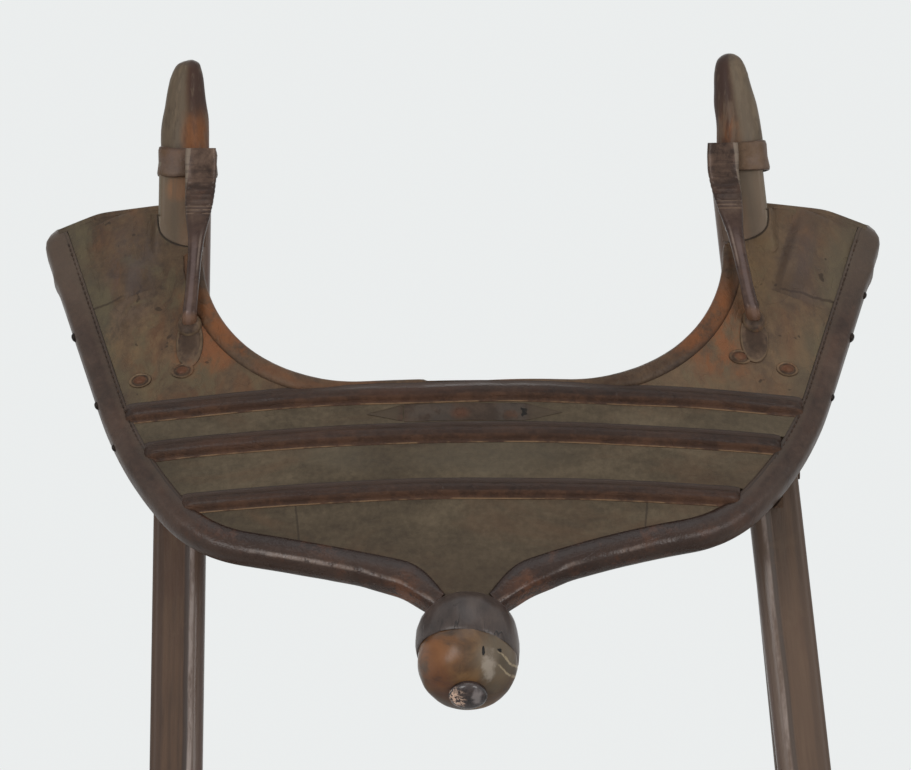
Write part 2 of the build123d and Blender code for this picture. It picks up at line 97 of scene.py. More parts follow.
class Net:
    """A tree of nodes, written node by node."""

    def __init__(self, tree):
        self.tree = tree

    def set(self, socket, value):
        """Link a socket to a value, or give it a constant."""
        if isinstance(value, Value):
            self.tree.links.new(value.socket, socket)
        elif socket.type == "RGBA" and len(value) == 3:
            socket.default_value = (*value, 1)
        else:
            socket.default_value = value

    def node(self, kind, settings, values, out=0):
        """A node's type, its settings, its inputs by name or in order, and the output that is wanted."""
        made = self.tree.nodes.new(kind)
        for key, setting in settings.items():
            if key == "stops":
                ramp = made.color_ramp
                while len(ramp.elements) < len(setting):
                    ramp.elements.new(0.5)
                for element, (level, colour) in zip(ramp.elements, setting):
                    element.position, element.color = level, (*colour, 1)
            else:
                setattr(made, key, setting)
        for key, value in values.items() if isinstance(values, dict) else enumerate(values):
            self.set(made.inputs[key], value)
        return Value(self, made.outputs[out])


# %% [markdown]
# ## Floor, lamps and camera
# The photograph is taken level, from far off with a long lens, so upright posts stay upright. The world is pale to the
# camera and gives an even, weak light. The floor fades into that pale colour away from the stool, so no horizon shows,
# and it keeps the stool's shadow. Two soft boxes at the front and one above give a soft sheen.

# %% Floor, world, lamps and camera
PALE = (0.83, 0.85, 0.85, 1)
SKYLIGHT, SKYLIGHT_STRENGTH = (1.0, 0.985, 0.96, 1), 0.27
FLOOR_RADIUS, FADE_START, FADE_END = 9, 0.5, 1.6


def linked(name, data):
    obj = bpy.data.objects.new(name, data)
    bpy.context.scene.collection.objects.link(obj)
    return obj


def dressed(mesh, material):
    mesh.materials.clear()
    mesh.materials.append(material)
    return mesh


def seen_by_camera(net, light, shown, out):
    """Send one shader to camera, mirror and glass rays, and another to the light."""
    rays = net.tree.nodes.new("ShaderNodeLightPath").outputs
    seen = Value(net, rays["Is Camera Ray"])
    for kind in ("Is Glossy Ray", "Is Transmission Ray"):
        seen = seen.high(Value(net, rays[kind]))
    net.set(out.inputs[0], net.node("ShaderNodeMixShader", {}, [seen, light, shown]))


def paint_world():
    world = bpy.data.worlds.new("studio")
    bpy.context.scene.world = world
    world.use_nodes = True
    net = Net(world.node_tree)
    net.tree.nodes.clear()
    shown = net.node("ShaderNodeBackground", {}, [PALE])
    light = net.node("ShaderNodeBackground", {}, [SKYLIGHT, SKYLIGHT_STRENGTH])
    seen_by_camera(net, light, shown, net.tree.nodes.new("ShaderNodeOutputWorld"))


def lay_floor():
    """A wide disc whose colour turns, away from the stool, into the world's own."""
    bm = bmesh.new()
    bmesh.ops.create_circle(bm, cap_ends=True, radius=FLOOR_RADIUS, segments=96)
    mesh = bpy.data.meshes.new("floor")
    bm.to_mesh(mesh)
    bm.free()
    material = bpy.data.materials.new("floor")
    material.use_nodes = True
    net = Net(material.node_tree)
    shader = net.tree.nodes["Principled BSDF"]
    net.set(shader.inputs["Base Color"], (0.80, 0.81, 0.81))
    net.set(shader.inputs["Roughness"], 0.9)
    base = Value(net, shader.outputs[0])
    place = net.node("ShaderNodeTexCoord", {}, [], "Object")
    away = net.node("ShaderNodeVectorMath", {"operation": "LENGTH"}, [place], "Value")
    fade = net.node("ShaderNodeMapRange", {"interpolation_type": "SMOOTHSTEP"},
                    {"Value": away, "From Min": FADE_START, "From Max": FADE_END})
    faded = net.node("ShaderNodeMixShader", {}, [fade, base, net.node("ShaderNodeEmission", {}, [PALE])])
    seen_by_camera(net, base, faded, net.tree.nodes["Material Output"])
    linked("floor", dressed(mesh, material))


def lamp(name, place, aim, size, power):
    data = bpy.data.lights.new(name, "AREA")
    data.shape = "RECTANGLE"
    data.size, data.size_y = size
    data.energy = power
    obj = linked(name, data)
    obj.location = place
    obj.rotation_euler = (Vector(aim) - Vector(place)).to_track_quat("-Z", "Y").to_euler()


def camera(target, distance, roll, seen_width):
    """A level camera in front of the target, with the lens that shows this width there."""
    data = bpy.data.cameras.new("camera")
    data.sensor_width = 36
    data.lens = data.sensor_width * distance / seen_width
    obj = linked("camera", data)
    obj.location = Vector(target) - Vector((0, distance, 0))
    obj.rotation_euler = Vector((0, distance, 0)).to_track_quat("-Z", "Y").to_euler()
    obj.rotation_euler.rotate_axis("Z", math.radians(roll))
    bpy.context.scene.camera = obj


paint_world()
lay_floor()
lamp("soft_box_left", (-1.7, -2.5, 1.15), (0, 0, 0.42), (1.1, 1.5), 24)
lamp("soft_box_right", (2.0, -2.3, 1.05), (0, 0, 0.42), (1.1, 1.5), 22)
lamp("top_light", (0.1, -0.7, 2.5), (0, 0, 0.4), (1.6, 1.2), 6)
lamp("back_light", (0.0, 2.6, 2.0), (0, 0, 0.4), (2.4, 1.2), 12)
camera((-0.0065, -0.05, 0.449), 3.2, -0.6, 0.670)
bpy.context.scene.view_settings.view_transform = "Standard"
print("lamps:", len(bpy.data.lights), "lens:", round(bpy.context.scene.camera.data.lens), "mm")

# %% [markdown]
# ## Measuring on a bent, leaning board
# Nearly everything sits on the apron, which leans back and is bent like a shallow barrel. One function turns "across,
# up along the board, out of its face" into a place in the room. Every strip of hide is drawn with it, in millimetres.

# %% The apron's own measures
LEAN = math.radians(30)
BEND = 1066.0
DIP = Vector((0, -103.69, 452.5))
WING_CORNER, WING_RISE = 315.0, 149.0
FLANK, HIP_DROP = 267.5, 97.0
HIP = {-1: 219.0, 1: 214.0}
BELLY_REACH, BELLY = 160, {-1: 137.5, 1: 131.0}
NECK, CUP_EDGE = (47, -167.5), (22.5, -184.8)
LIFT = {-1: 3.5, 1: 0.0}
RIB_DROPS = {"upper": 10.5, "middle": 44.0, "lower": 90.0}


def bulge(u, w):
    """How far a face that is w off the board stands out at u, against the middle of the board."""
    return math.sqrt((BEND + w) ** 2 - u * u) - BEND


def on_apron(u, v, w):
    out = bulge(u, w)
    y = v * math.sin(LEAN) - out * math.cos(LEAN)
    z = v * math.cos(LEAN) + out * math.sin(LEAN)
    return (DIP + Vector((u, y, z))) * MM


def apron_frame(u, v, w):
    """A place on the apron with its own directions: x across, y up along the board, z out of its face."""
    across = (on_apron(u + 1, v, w) - on_apron(u - 1, v, w)).normalized()
    up = Vector((0, math.sin(LEAN), math.cos(LEAN)))
    axes = Matrix((across, up, across.cross(up))).transposed().to_4x4()
    return Matrix.Translation(on_apron(u, v, w)) @ axes


print("middle of the dip:", [round(c, 4) for c in on_apron(0, 0, 0)])

# %% [markdown]
# ## Lines to sweep along
# The rim follows the apron's outer edge: a straight flank, then three arcs, each starting in the direction in which
# the last one ended. The arcs are worked out here, and made into points an even distance apart.


# %% Lines on the apron, as rows of points
def rotated(direction, angle):
    c, s = math.cos(angle), math.sin(angle)
    return np.array((c * direction[0] - s * direction[1], s * direction[0] + c * direction[1]))


def arc_onward(start, along, end, count=24):
    """Points of the arc that leaves start in one direction and passes through end, and its last direction."""
    chord = np.array(end, float) - start
    half = math.atan2(along[0] * chord[1] - along[1] * chord[0], along @ chord)
    length = np.linalg.norm(chord)
    points = []
    for i in range(1, count + 1):
        turn = half * i / count
        points.append(start + rotated(along, turn) * length * math.sin(turn) / math.sin(half))
    return points, rotated(along, 2 * half)


def runs(line):
    """How long a line is up to each of its points."""
    return np.concatenate([[0], np.linalg.norm(np.diff(line, axis=0), axis=1).cumsum()])


def read_at(places, table, known):
    """The columns of a table, read between the places for which they are known."""
    return np.stack([np.interp(places, known, column) for column in np.array(table, float).T], 1)


def round_angles(count):
    return np.linspace(0, 2 * math.pi, count, endpoint=False)


def even(points, gap_shade):
    """The same line with points an even distance apart."""
    known = runs(points)
    return read_at(np.linspace(0, known[-1], max(2, int(known[-1] / gap_shade) + 1)), points, known)


def softened(line, times):
    """Round off the corners of a line, keeping its ends."""
    for _ in range(times):
        line = np.vstack([line[:1], (line[:-2] + 2 * line[1:-1] + line[2:]) / 4, line[-1:]])
    return line


def to_left(line):
    """Unit directions to the left of a line, at each of its points."""
    run = np.gradient(line, axis=0)
    run /= np.linalg.norm(run, axis=1)[:, None]
    return np.stack([-run[:, 1], run[:, 0]], 1)


def outer_edge(side):
    """The apron's edge from a wing's corner down to the cup on the neck."""
    points = [np.array((side * WING_CORNER, WING_RISE + LIFT[side])), np.array((side * FLANK, 0.0))]
    along = points[1] - points[0]
    along /= np.linalg.norm(along)
    for reach, v in ((HIP[side], -HIP_DROP), (BELLY_REACH, -BELLY[side]), NECK):
        arc, along = arc_onward(points[-1], along, (side * reach, v))
        points += arc
    points.append(np.array((side * CUP_EDGE[0], CUP_EDGE[1])))
    return softened(even(points, 4.0), 2)


edges = {side: outer_edge(side) for side in (-1, 1)}
inward = {side: to_left(edges[side]) * -side for side in (-1, 1)}


def seam(side, depth):
    """The apron's edge moved inwards by a depth."""
    return edges[side] + inward[side] * depth


def reach_at(side, v, depth):
    """How far from the middle that moved edge is, at a height on the apron above the belly."""
    line = seam(side, depth)
    upper = line[line[:, 1] > -125]
    order = np.argsort(upper[:, 1])
    return float(np.interp(v, upper[order, 1], upper[order, 0]))


print("rim points:", len(edges[-1]))

# %% [markdown]
# ## Turning rings of points into a closed skin
# A strip of hide, a horn or a brace is a row of rings. Neighbouring rings are joined by faces and the two ends are
# closed. Each point also keeps two numbers for the material: how far along the piece it is, and how far across.


# %% Skins from rings, and pieces from skins
def mesh_of(name, bm):
    """The finished mesh, smooth but for its sharp edges."""
    mesh = bpy.data.meshes.new(name)
    bm.to_mesh(mesh)
    bm.free()
    mesh.shade_smooth()
    mesh.set_sharp_from_angle(angle=math.radians(50))
    return mesh


def skin(name, rings, across=None, along=None):
    bm = bmesh.new()
    marks = [bm.verts.layers.float.new(label) for label in ("across", "along")]
    count = len(rings[0])
    across = across if across is not None else np.linspace(0, 1, count)
    along = along if along is not None else np.linspace(0, 1, len(rings))
    rows = []
    for ring, run in zip(rings, along):
        row = [bm.verts.new(p) for p in ring]
        for vert, share in zip(row, across):
            vert[marks[0]], vert[marks[1]] = float(share), float(run)
        rows.append(row)
    for a, b in zip(rows, rows[1:]):
        for k in range(count):
            bm.faces.new((a[k], a[(k + 1) % count], b[(k + 1) % count], b[k]))
    for row in (rows[0], rows[-1]):
        centre = bm.verts.new(sum((v.co for v in row), Vector()) / count)
        for mark in marks:
            centre[mark] = row[0][mark]
        for k in range(count):
            bm.faces.new((row[k], row[(k + 1) % count], centre))
    bmesh.ops.remove_doubles(bm, verts=bm.verts, dist=1e-6)
    bmesh.ops.recalc_face_normals(bm, faces=bm.faces)
    return mesh_of(name, bm)


def joined(name, meshes):
    """Several skins as one mesh."""
    bm = bmesh.new()
    for mesh in meshes:
        bm.from_mesh(mesh)
    return mesh_of(name, bm)


def piece(mesh, material, slot, *nodes):
    obj = linked(mesh.name, dressed(mesh, material))
    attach(obj, "root")
    if nodes:
        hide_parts(*nodes)
    print(mesh.name, "faces", len(mesh.polygons))


def wobble(place, scale, size, seed=0.0):
    """A small smooth random length that depends only on the place."""
    return size * noise.noise(Vector(place) * scale + Vector((seed, seed * 1.7, seed * 0.3)))


def swept(line, sideways, ring, seed, rough, slide=None):
    """Rings along a line on the apron. ring(i) gives pairs: how far sideways, and how far out of the face.

    Points that lie on the hide or on the board's edge hardly wobble, so that the strip keeps touching them.
    """
    rings = []
    back = (line[0] - line[1]) / np.linalg.norm(line[0] - line[1])
    for i, (place, side_way) in enumerate(zip(line, sideways)):
        points = []
        for across, out in ring(i):
            u, v = place + side_way * across + (back * slide(i, across) if slide else 0)
            bump = wobble((u, v, out), 0.05, rough, seed) + wobble((u, v, out), 0.21, rough * 0.5, seed)
            free = out > 2.2 or out < -12
            points.append(on_apron(u, v, out + bump * (1 if free else 0.25)))
        rings.append(points)
    return rings


def swell(i, count, start, stop):
    """How far a strip has grown to its full size, near its two ends."""
    near = min((i + 0.2) / start if start else 1, (count - 0.8 - i) / stop if stop else 1, 1.0)
    return math.sqrt(1 - (1 - near) ** 2)


def strip(name, line, sideways, ring, seed, marks, rough=0.35, slide=None):
    """The skin of a strip swept along a line, marked along with the metres that the line has run."""
    return skin(name, swept(line, sideways, ring, seed, rough, slide), marks, runs(line) * MM)


def upwards(line):
    return np.tile((0.0, 1.0), (len(line), 1))


def ramped(value, start, stop):
    """0 up to start, 1 from stop, and a straight line between."""
    return float(np.clip((value - start) / (stop - start), 0, 1))


def squared(share, power):
    """A sine or cosine pushed outwards, which makes a rounded square out of a circle."""
    return math.copysign(abs(share) ** (2 / power), share)


# %% [markdown]
# ## The rolled rim
# Hide is folded over the edge of the board. Down the wings it lies almost flat and only its outer corner is round.
# Under the belly it grows into a glossy roll, and at the neck both rolls turn down into the pommel. One outline whose
# shape changes along the edge does all of it.

# %% Rims
HALF_RIM, RIM_DEPTH = 9.5, 17.8
RIM_FACE, RIM_TURN = np.linspace(1, 0.06, 9), np.radians(np.linspace(90, 270, 17))
RIM_MARKS = [*RIM_FACE, *np.linspace(0, -1, 9), *[-1] * 11]
LUMP_HEIGHT = 117


def rim_ring(side, count):
    def ring(i):
        share = i / (count - 1)
        bead, neck = ramped(share, 0.36, 0.56), ramped(share, 0.88, 0.93)
        size = swell(i, count, 3, 0)
        lump = math.exp(-((edges[side][i][1] - LUMP_HEIGHT) / 6) ** 2)
        top = 2.9 * (1 - bead) + 5.0 * bead + 1.1 * lump
        at_seam = 2.3 * (1 - bead) + 1.9 * bead
        power = 5.0 * (1 - bead) + 2.5 * bead + 2.4 * neck
        outward = HALF_RIM + 0.9 * neck + 1.3 * lump
        drawn_in = 1 - 0.75 * max(0.0, 1 - (count - 1 - i) / 8) ** 1.5
        middle, tall = (top - RIM_DEPTH) / 2, (top + RIM_DEPTH) / 2
        points = [((HALF_RIM + 1.6 * bead) * t * drawn_in, at_seam + (top - at_seam) * (1 - t ** 2.2) ** 0.7)
                  for t in RIM_FACE]
        points += [(-outward * abs(squared(math.cos(a), power)), middle + tall * squared(math.sin(a), power))
                   for a in RIM_TURN]
        points += [(HALF_RIM * t * drawn_in, -RIM_DEPTH + 1.6 * t ** 3) for t in (0.35, 0.7, 0.95)]
        return [(across * size, middle + (out - middle) * size) for across, out in points]

    return ring


def rim_slide(i, across):
    """The rim's upper end is cut in line with the wing's top edge."""
    return max(0.0, 1 - i / 9) ** 2 * (1.2 + 7.5 * max(0.0, across + HALF_RIM) / (2 * HALF_RIM))


def make_rims(material):
    for name, side in SIDES.items():
        line = seam(side, HALF_RIM)
        ring = rim_ring(side, len(line))
        mesh = strip(f"rolled_rim_{name}", line, inward[side], ring, side * 2.0, RIM_MARKS, slide=rim_slide)
        piece(mesh, material, "rim_leather", f"rim_{name}")


# %% [markdown]
# ## Ribs and lips
# Three rolls of hide cross the apron. Each has a smooth upper slope, a dark crest and a steeper foot, so its outline
# is lopsided. Up each side of the dip another strip wraps over the edge of the board, and runs on as a thin welt. The
# same strip, narrower and lower, is the hem along the top of each wing.

# %% Ribs, lips and hems
RIB = ((8.6, 1.2), (8.4, 2.2), (6.6, 2.8), (4.6, 4.2), (2.6, 6.0), (0.4, 7.1), (-2.2, 7.2), (-4.4, 6.2), (-6.0, 4.3),
       (-7.0, 2.6), (-8.0, 2.2), (-8.9, 2.1), (-9.1, 1.2))
RIB_MARKS = [across for across, _ in RIB]
RIB_SEAM, RIB_FOOT = 16.5, 1.2
LIP = ((13.2, 1.4), (12.6, 2.7), (9.5, 4.0), (5.5, 4.7), (2.0, 4.4), (-0.2, 3.0), (-1.2, 0.4), (-1.4, -5.0),
       (-1.3, -11.0), (-0.6, -14.4), (1.6, -15.2), (4.0, -14.4), (5.0, -8.0), (8.0, 0.2))
LIP_MARKS = [across for across, _ in LIP]
LIP_TOP, DIP_FLAT, DIP_ROUND = (195.2, 126.0), 73.5, 120
LIP_MIDDLE, LIP_FOOT = -5, 1.4


def make_ribs(material):
    for number, (name, drop) in enumerate(RIB_DROPS.items()):
        ends = [reach_at(side, -drop, RIB_SEAM) for side in (-1, 1)]
        line = np.array([(u, -drop + wobble((u, drop, 0), 0.013, 1.0, number)) for u in np.arange(*ends, 4.0)])
        count = len(line)

        def ring(i):
            size = swell(i, count, 2, 2)
            fat = 1 + 0.07 * noise.noise(Vector((line[i][0] * 0.03, drop, 0)))
            return [(a * (0.9 + 0.1 * size), (out - RIB_FOOT) * size * fat + RIB_FOOT) for a, out in RIB]

        mesh = strip(f"rib_roll_{name}", line, upwards(line), ring, number + 5.0, RIB_MARKS, 0.5)
        piece(mesh, material, "rib_leather", f"rib_{name}")


def lip_outline(narrow, flat):
    """The lip's outline, narrower on the hide's side and lower over the hide."""
    return [(a * (narrow if a > 0 else 1), out if out < 2 else LIP_FOOT + (out - LIP_FOOT) * flat) for a, out in LIP]


def lip_line(side, welt_end):
    """From the post down the side of the dip, and along the dip's foot as a thin welt."""
    corner = [(DIP_FLAT + DIP_ROUND * math.sin(a), DIP_ROUND - DIP_ROUND * math.cos(a))
              for a in np.linspace(math.pi / 2, 0, 40)]
    return even([(side * u, v) for u, v in (LIP_TOP, *corner, (welt_end, 0.0))], 3.5)


def make_lips(material):
    for (name, side), welt_end in zip(SIDES.items(), (26.0, 8.0)):
        line = lip_line(side, welt_end)
        count = len(line)

        def ring(i):
            size = swell(i, count, 2, 2 if side == -1 else 18)
            wide = ramped(abs(line[i][0]), 84, 118)
            outline = lip_outline(0.27 + 0.73 * wide, 0.3 + 0.7 * wide)
            return [(across, LIP_MIDDLE + (out - LIP_MIDDLE) * size) for across, out in outline]

        mesh = strip(f"dip_lip_roll_{name}", line, to_left(line) * side, ring, side + 9.0, LIP_MARKS)
        piece(mesh, material, "lip_leather", f"dip_lip_{name}")


def make_hems(materials):
    """The folded top edge of each wing, from the rim to the post."""
    for name, side in SIDES.items():
        points = [(side * u, v + LIFT[side]) for u, v in ((303, 154.5), (272, 163.2), (222, 162.7))]
        line = softened(even(points, 3.5), 3)
        outline = lip_outline(0.34, 0.36)
        mesh = strip(f"wing_hem_{name}", line, to_left(line) * side, lambda i: outline, side + 31.0, LIP_MARKS)
        piece(mesh, materials[side], "wing_leather")


# %% [markdown]
# ## Folded rolls on the wings and the mending plate
# Each wing has a low fold of hide near its top. The left one is soft on both sides, and the right one has a sharp
# inner edge, so the height across each is its own list. The plate is a thin pointed strip in two pieces with a slit.

# %% Wing rolls and plate
FOLDS = {-1: ((-24, 0.0), (-20, 0.35), (-15, 1.5), (-9, 3.3), (-3, 4.7), (3, 5.1), (9, 4.2), (14, 2.7), (19, 1.1),
              (24, 0.3), (28, 0.0)),
         1: ((-17, 0.0), (-14.5, 0.8), (-12, 2.6), (-8, 4.6), (-2, 5.3), (4, 4.7), (10, 3.6), (16, 2.2), (22, 1.0),
             (27, 0.3), (31, 0.0))}
FOLD_LINES = {-1: ((258, 157), (240, 88)), 1: ((265, 157), (242, 83))}
FOLD_FOOT = {-1: 7, 1: 3.5}
FOLD_UNDERSIDE = -30
PLATE_DROP, PLATE_HALF, PLATE_TAPER = 27.5, 70, 27
PLATE_OUTLINE = ((1, 1.5), (0.97, 2.1), (0.85, 2.4), (0, 2.6), (-0.85, 2.4), (-0.97, 2.1), (-1, 1.5))
PLATE_MARKS = (1, 1, 0.9, 0, -0.9, -1, -1)
PLATE_SLIT = (-44.6, -43.6)


def make_folds(materials):
    for name, side in SIDES.items():
        line = even([(side * u, v + LIFT[side]) for u, v in FOLD_LINES[side]], 3.0)
        count = len(line)
        left = to_left(line)
        outside = left * (1 if left[0][0] * side > 0 else -1)

        def ring(i):
            near_foot = min(1.0, (count - 1 - i) / FOLD_FOOT[side])
            dying = (0.5 - 0.5 * math.cos(math.pi * near_foot)) ** 0.8
            size = swell(i, count, 1, 0) * (0.72 + 0.28 * i / count) * dying
            upper = [(a * (0.9 + 0.1 * size), 1.9 + h * size) for a, h in FOLDS[side]]
            return upper + [(a, 1.0) for a, _ in reversed(FOLDS[side])]

        marks = [a for a, _ in FOLDS[side]] + [FOLD_UNDERSIDE] * len(FOLDS[side])
        mesh = strip(f"wing_fold_{name}", line, outside, ring, side + 14.0, marks, 0.3)
        piece(mesh, materials[side], "wing_leather", f"wing_roll_{name}")


def plate_strip(start, stop):
    line = np.array([(u, -PLATE_DROP) for u in np.linspace(start, stop, max(2, int((stop - start) / 3)))])

    def ring(i):
        half = 7.2 * min(1.0, (PLATE_HALF + 0.5 - abs(line[i][0])) / PLATE_TAPER) + 0.15
        return [(half * share, out) for share, out in PLATE_OUTLINE]

    return skin("strip", swept(line, upwards(line), ring, 21.0, 0.22), PLATE_MARKS, line[:, 0] * MM)


def make_plate(material):
    strips = [plate_strip(-PLATE_HALF, PLATE_SLIT[0]), plate_strip(PLATE_SLIT[1], PLATE_HALF)]
    piece(joined("mending_strip", strips), material, "plate_iron", "mending_plate")


# %% [markdown]
# ## Horns, collars and braces
# A horn is carved to a blunt point with a ridge down its front. Its rings follow a short table of heights, centres and
# widths, one table for each side, because the two are not a pair. The collar is a strip lapped over itself. The brace
# is a flat plate drawn out into a rod, with fine rings cut round it.

# %% Horns
HORNS = {-1: ((611, -206.4, 18.4, 13.2), (633, -206.7, 18.3, 13.2), (651, -206.3, 17.0, 12.6),
              (663, -205.7, 15.0, 11.8), (676, -205.2, 13.3, 10.8), (684, -204.5, 11.6, 9.8), (689, -204.1, 9.8, 8.6),
              (692, -203.2, 8.0, 7.0), (693.6, -202.4, 5.6, 4.8), (694.3, -201.8, 1.6, 1.6)),
         1: ((611, 208.6, 18.0, 13.4), (634.8, 207.4, 17.2, 13.2), (645, 206.5, 16.6, 12.8), (656, 204.8, 15.8, 12.2),
             (666, 203.5, 14.8, 11.5), (676, 202.2, 13.5, 10.6), (685, 201.3, 11.3, 9.4), (689.5, 200.8, 9.6, 8.0),
             (692.6, 200.8, 7.4, 6.2), (694.2, 200.8, 4.8, 4.0), (694.9, 200.8, 1.4, 1.4))}
HORN_FOOT, HORN_SHOULDER, HORN_RISE = 611, 680, 84
HORN_RIDGE = {-1: math.radians(-78), 1: math.radians(-104)}
CROSSING = 552
POST_INSET, POST_SPLAY = {-1: 207.0, 1: 209.5}, {-1: 1.1, 1: 5.4}
POST_LEAN, POST_BACK = 6, 9.54


def tangent(degrees):
    """How far a leaning line goes sideways for each millimetre that it rises."""
    return math.tan(math.radians(degrees))


def post_x(side, z):
    """The middle of a post, which crosses the hide at the crossing's height."""
    return side * (POST_INSET[side] - (z - CROSSING) * tangent(POST_SPLAY[side]))


def post_y(z):
    return (z - CROSSING) * tangent(POST_LEAN) - POST_BACK


def make_horns(material):
    angles = round_angles(40)
    for name, side in SIDES.items():
        table = np.array(HORNS[side])
        tip = table[-1, 0]
        heights = [*np.arange(HORN_FOOT, HORN_SHOULDER, 3.0), *np.arange(HORN_SHOULDER, tip, 1.2), tip]
        rings = []
        for z, (x, wide, deep) in zip(heights, softened(read_at(heights, table[:, 1:], table[:, 0]), 2)):
            ring = []
            for a in angles:
                off = (a - HORN_RIDGE[side] + math.pi) % (2 * math.pi) - math.pi
                crest = 1 + 0.035 * math.exp(-(off / 0.35) ** 2) - 0.03 * math.exp(-((abs(off) - 0.8) / 0.4) ** 2)
                grow = crest * (1 + wobble((math.cos(a), math.sin(a), z * 0.04 + side), 1.3, 0.05))
                ring.append(Vector((x + wide * math.cos(a) * min(grow, 1.04),
                                    post_y(z) + deep * math.sin(a) * grow, z)) * MM)
            rings.append(ring)
        mesh = skin(f"carved_horn_{name}", rings, np.cos(angles) * side, (np.array(heights) - HORN_FOOT) / HORN_RISE)
        piece(mesh, material, "horn_wood", f"horn_{name}")


# %% Collars
COLLAR = ((-10.6, 0.4), (-10.2, 2.0), (-8, 2.7), (0, 2.3), (8, 2.6), (10.2, 1.9), (10.6, 0.3), (9, 0.0), (0, 0.0),
          (-9, 0.0))
COLLAR_MARKS = (-1, -1, -0.8, 0, 0.8, 1, 1, 0.8, 0, -0.8)
COLLAR_HEIGHT, COLLAR_WIDE, COLLAR_DEEP = 616.5, 19.4, 15.6
COLLAR_START, COLLAR_SHIFT = {-1: math.radians(-60), 1: math.radians(-150)}, {-1: 1.2, 1: 3.0}
OVERLAP = 0.5


def make_collars(material):
    turns = np.linspace(0, 2 * math.pi + OVERLAP, 76)
    for name, side in SIDES.items():
        rings = []
        for t in turns:
            c, s = math.cos(COLLAR_START[side] + t), math.sin(COLLAR_START[side] + t)
            lap = 2.2 * max(0.0, t - 2 * math.pi + 0.25) / OVERLAP
            ring = []
            for up, out in COLLAR:
                z = COLLAR_HEIGHT + up + wobble((c, s, side), 1.1, 1.6) + (0.5 + 1.6 * max(0.0, up) / 10) * c * side
                wide = COLLAR_WIDE + out + lap + 0.6 * max(0, -up / 10)
                deep = COLLAR_DEEP + out + lap
                ring.append(Vector((post_x(side, z) + COLLAR_SHIFT[side] + squared(c, 2.7) * wide,
                                    post_y(z) - 0.6 + squared(s, 2.7) * deep, z)) * MM)
            rings.append(ring)
        mesh = skin(f"lapped_collar_{name}", rings, COLLAR_MARKS, turns / 7)
        piece(mesh, material, "collar_leather", f"collar_{name}")


# %% Braces
BRACE_X = {-1: (-193.5, -201.0), 1: (193.5, 212.5)}
BRACE_TOP, BRACE_BEND, BRACE_END = 626.5, 606.5, 493
BRACE_FALL = 111.8
BRACE_RINGS = (577.5, 580.2, 583.0, 588, 592, 596, 600)
BRACE_ROWS = ((626.5, 11.2, 3.0), (618, 11.8, 3.0), (607, 11.6, 3.2), (596, 11.3, 3.9), (586, 10.5, 4.4),
              (577, 9.4, 4.6), (568, 7.6, 4.7), (559, 6.0, 4.5), (545, 5.1, 4.4), (520, 4.9, 4.4), (505, 5.4, 4.8),
              (496, 5.6, 4.7), (493, 3.6, 3.4))


def brace_y(z, share):
    """Flat on the collar at first, then forward along a straight slope, and back to the wing at the foot."""
    leaving = min(1, share * 4)
    return ((post_y(z) - 21.9) * (1 - leaving) + leaving * (-25.9 - 44.0 * share)
            + 9.0 * max(0.0, (506 - z) / 13) ** 1.6)


def make_braces(material):
    table = np.array(BRACE_ROWS)[::-1]
    heights = np.arange(BRACE_TOP, BRACE_END, -0.75)
    sizes = softened(read_at(heights, table[:, 1:], table[:, 0]), 12)
    angles = round_angles(28)
    for name, side in SIDES.items():
        top, foot = BRACE_X[side]
        rings = []
        for z, (wide, deep) in zip(heights, sizes):
            share = max(0.0, (BRACE_BEND - z) / BRACE_FALL)
            x, y = top + (foot - top) * share ** 1.12, brace_y(z, share)
            groove = sum(0.45 * math.exp(-((z - at) / 0.6) ** 2) for at in BRACE_RINGS)
            deep *= 1 - groove / max(deep, 3.5) * 0.6
            power = 3.2 if share < 0.2 else 2.4
            rings.append([Vector((x + squared(math.cos(a), power) * (wide - groove * 0.7),
                                  y + squared(math.sin(a), power) * deep, z)) * MM for a in angles])
        mesh = skin(f"forged_brace_{name}", rings, np.cos(angles) * side, (BRACE_TOP - heights) / 130)
        piece(mesh, material, "brace_iron", f"brace_{name}")


# %% [markdown]
# ## Where the posts come through the hide
# The hide is stretched over the corner of each post and cut out round its face, in a curve like a D. A patch of hide
# makes the stretched corner, and a thin tongue of the post's own wood fills the cut-out.

# %% Gussets and post tongues
POST_FRONT, POST_HALF = 13.5, 19.5
CUT = ((-0.3, 578), (0.2, 571), (1.8, 565), (5.6, 560.6), (11.0, 557.4), (17.5, 555.0), (25, 553.4), (33, 552.6))
SPREAD = ((-7.5, 578), (-8.5, 566), (-8, 555), (-3, 545.5), (6, 542.5), (16, 544.5), (26, 547), (34, 548.5))
HIDE_FACE = 1.9
TONGUE_TOP, TONGUE_FOOT, TONGUE_REACH = 576.5, 552.7, 36.0


def wing_y(u, z):
    """Where the face of the wing's hide is, at a place across and a height."""
    out = bulge(u, HIDE_FACE)
    v = (z - DIP.z - out * math.sin(LEAN)) / math.cos(LEAN)
    return DIP.y + v * math.sin(LEAN) - out * math.cos(LEAN)


def post_edge(side, z):
    return abs(post_x(side, z)) + POST_HALF


def backed(row, side, thick):
    """A ring of the places in a row and the same places further back, on one side of the stool."""
    ring = row + [(u, y + thick, z) for u, y, z in reversed(row)]
    return [Vector((side * u, y, z)) * MM for u, y, z in ring]


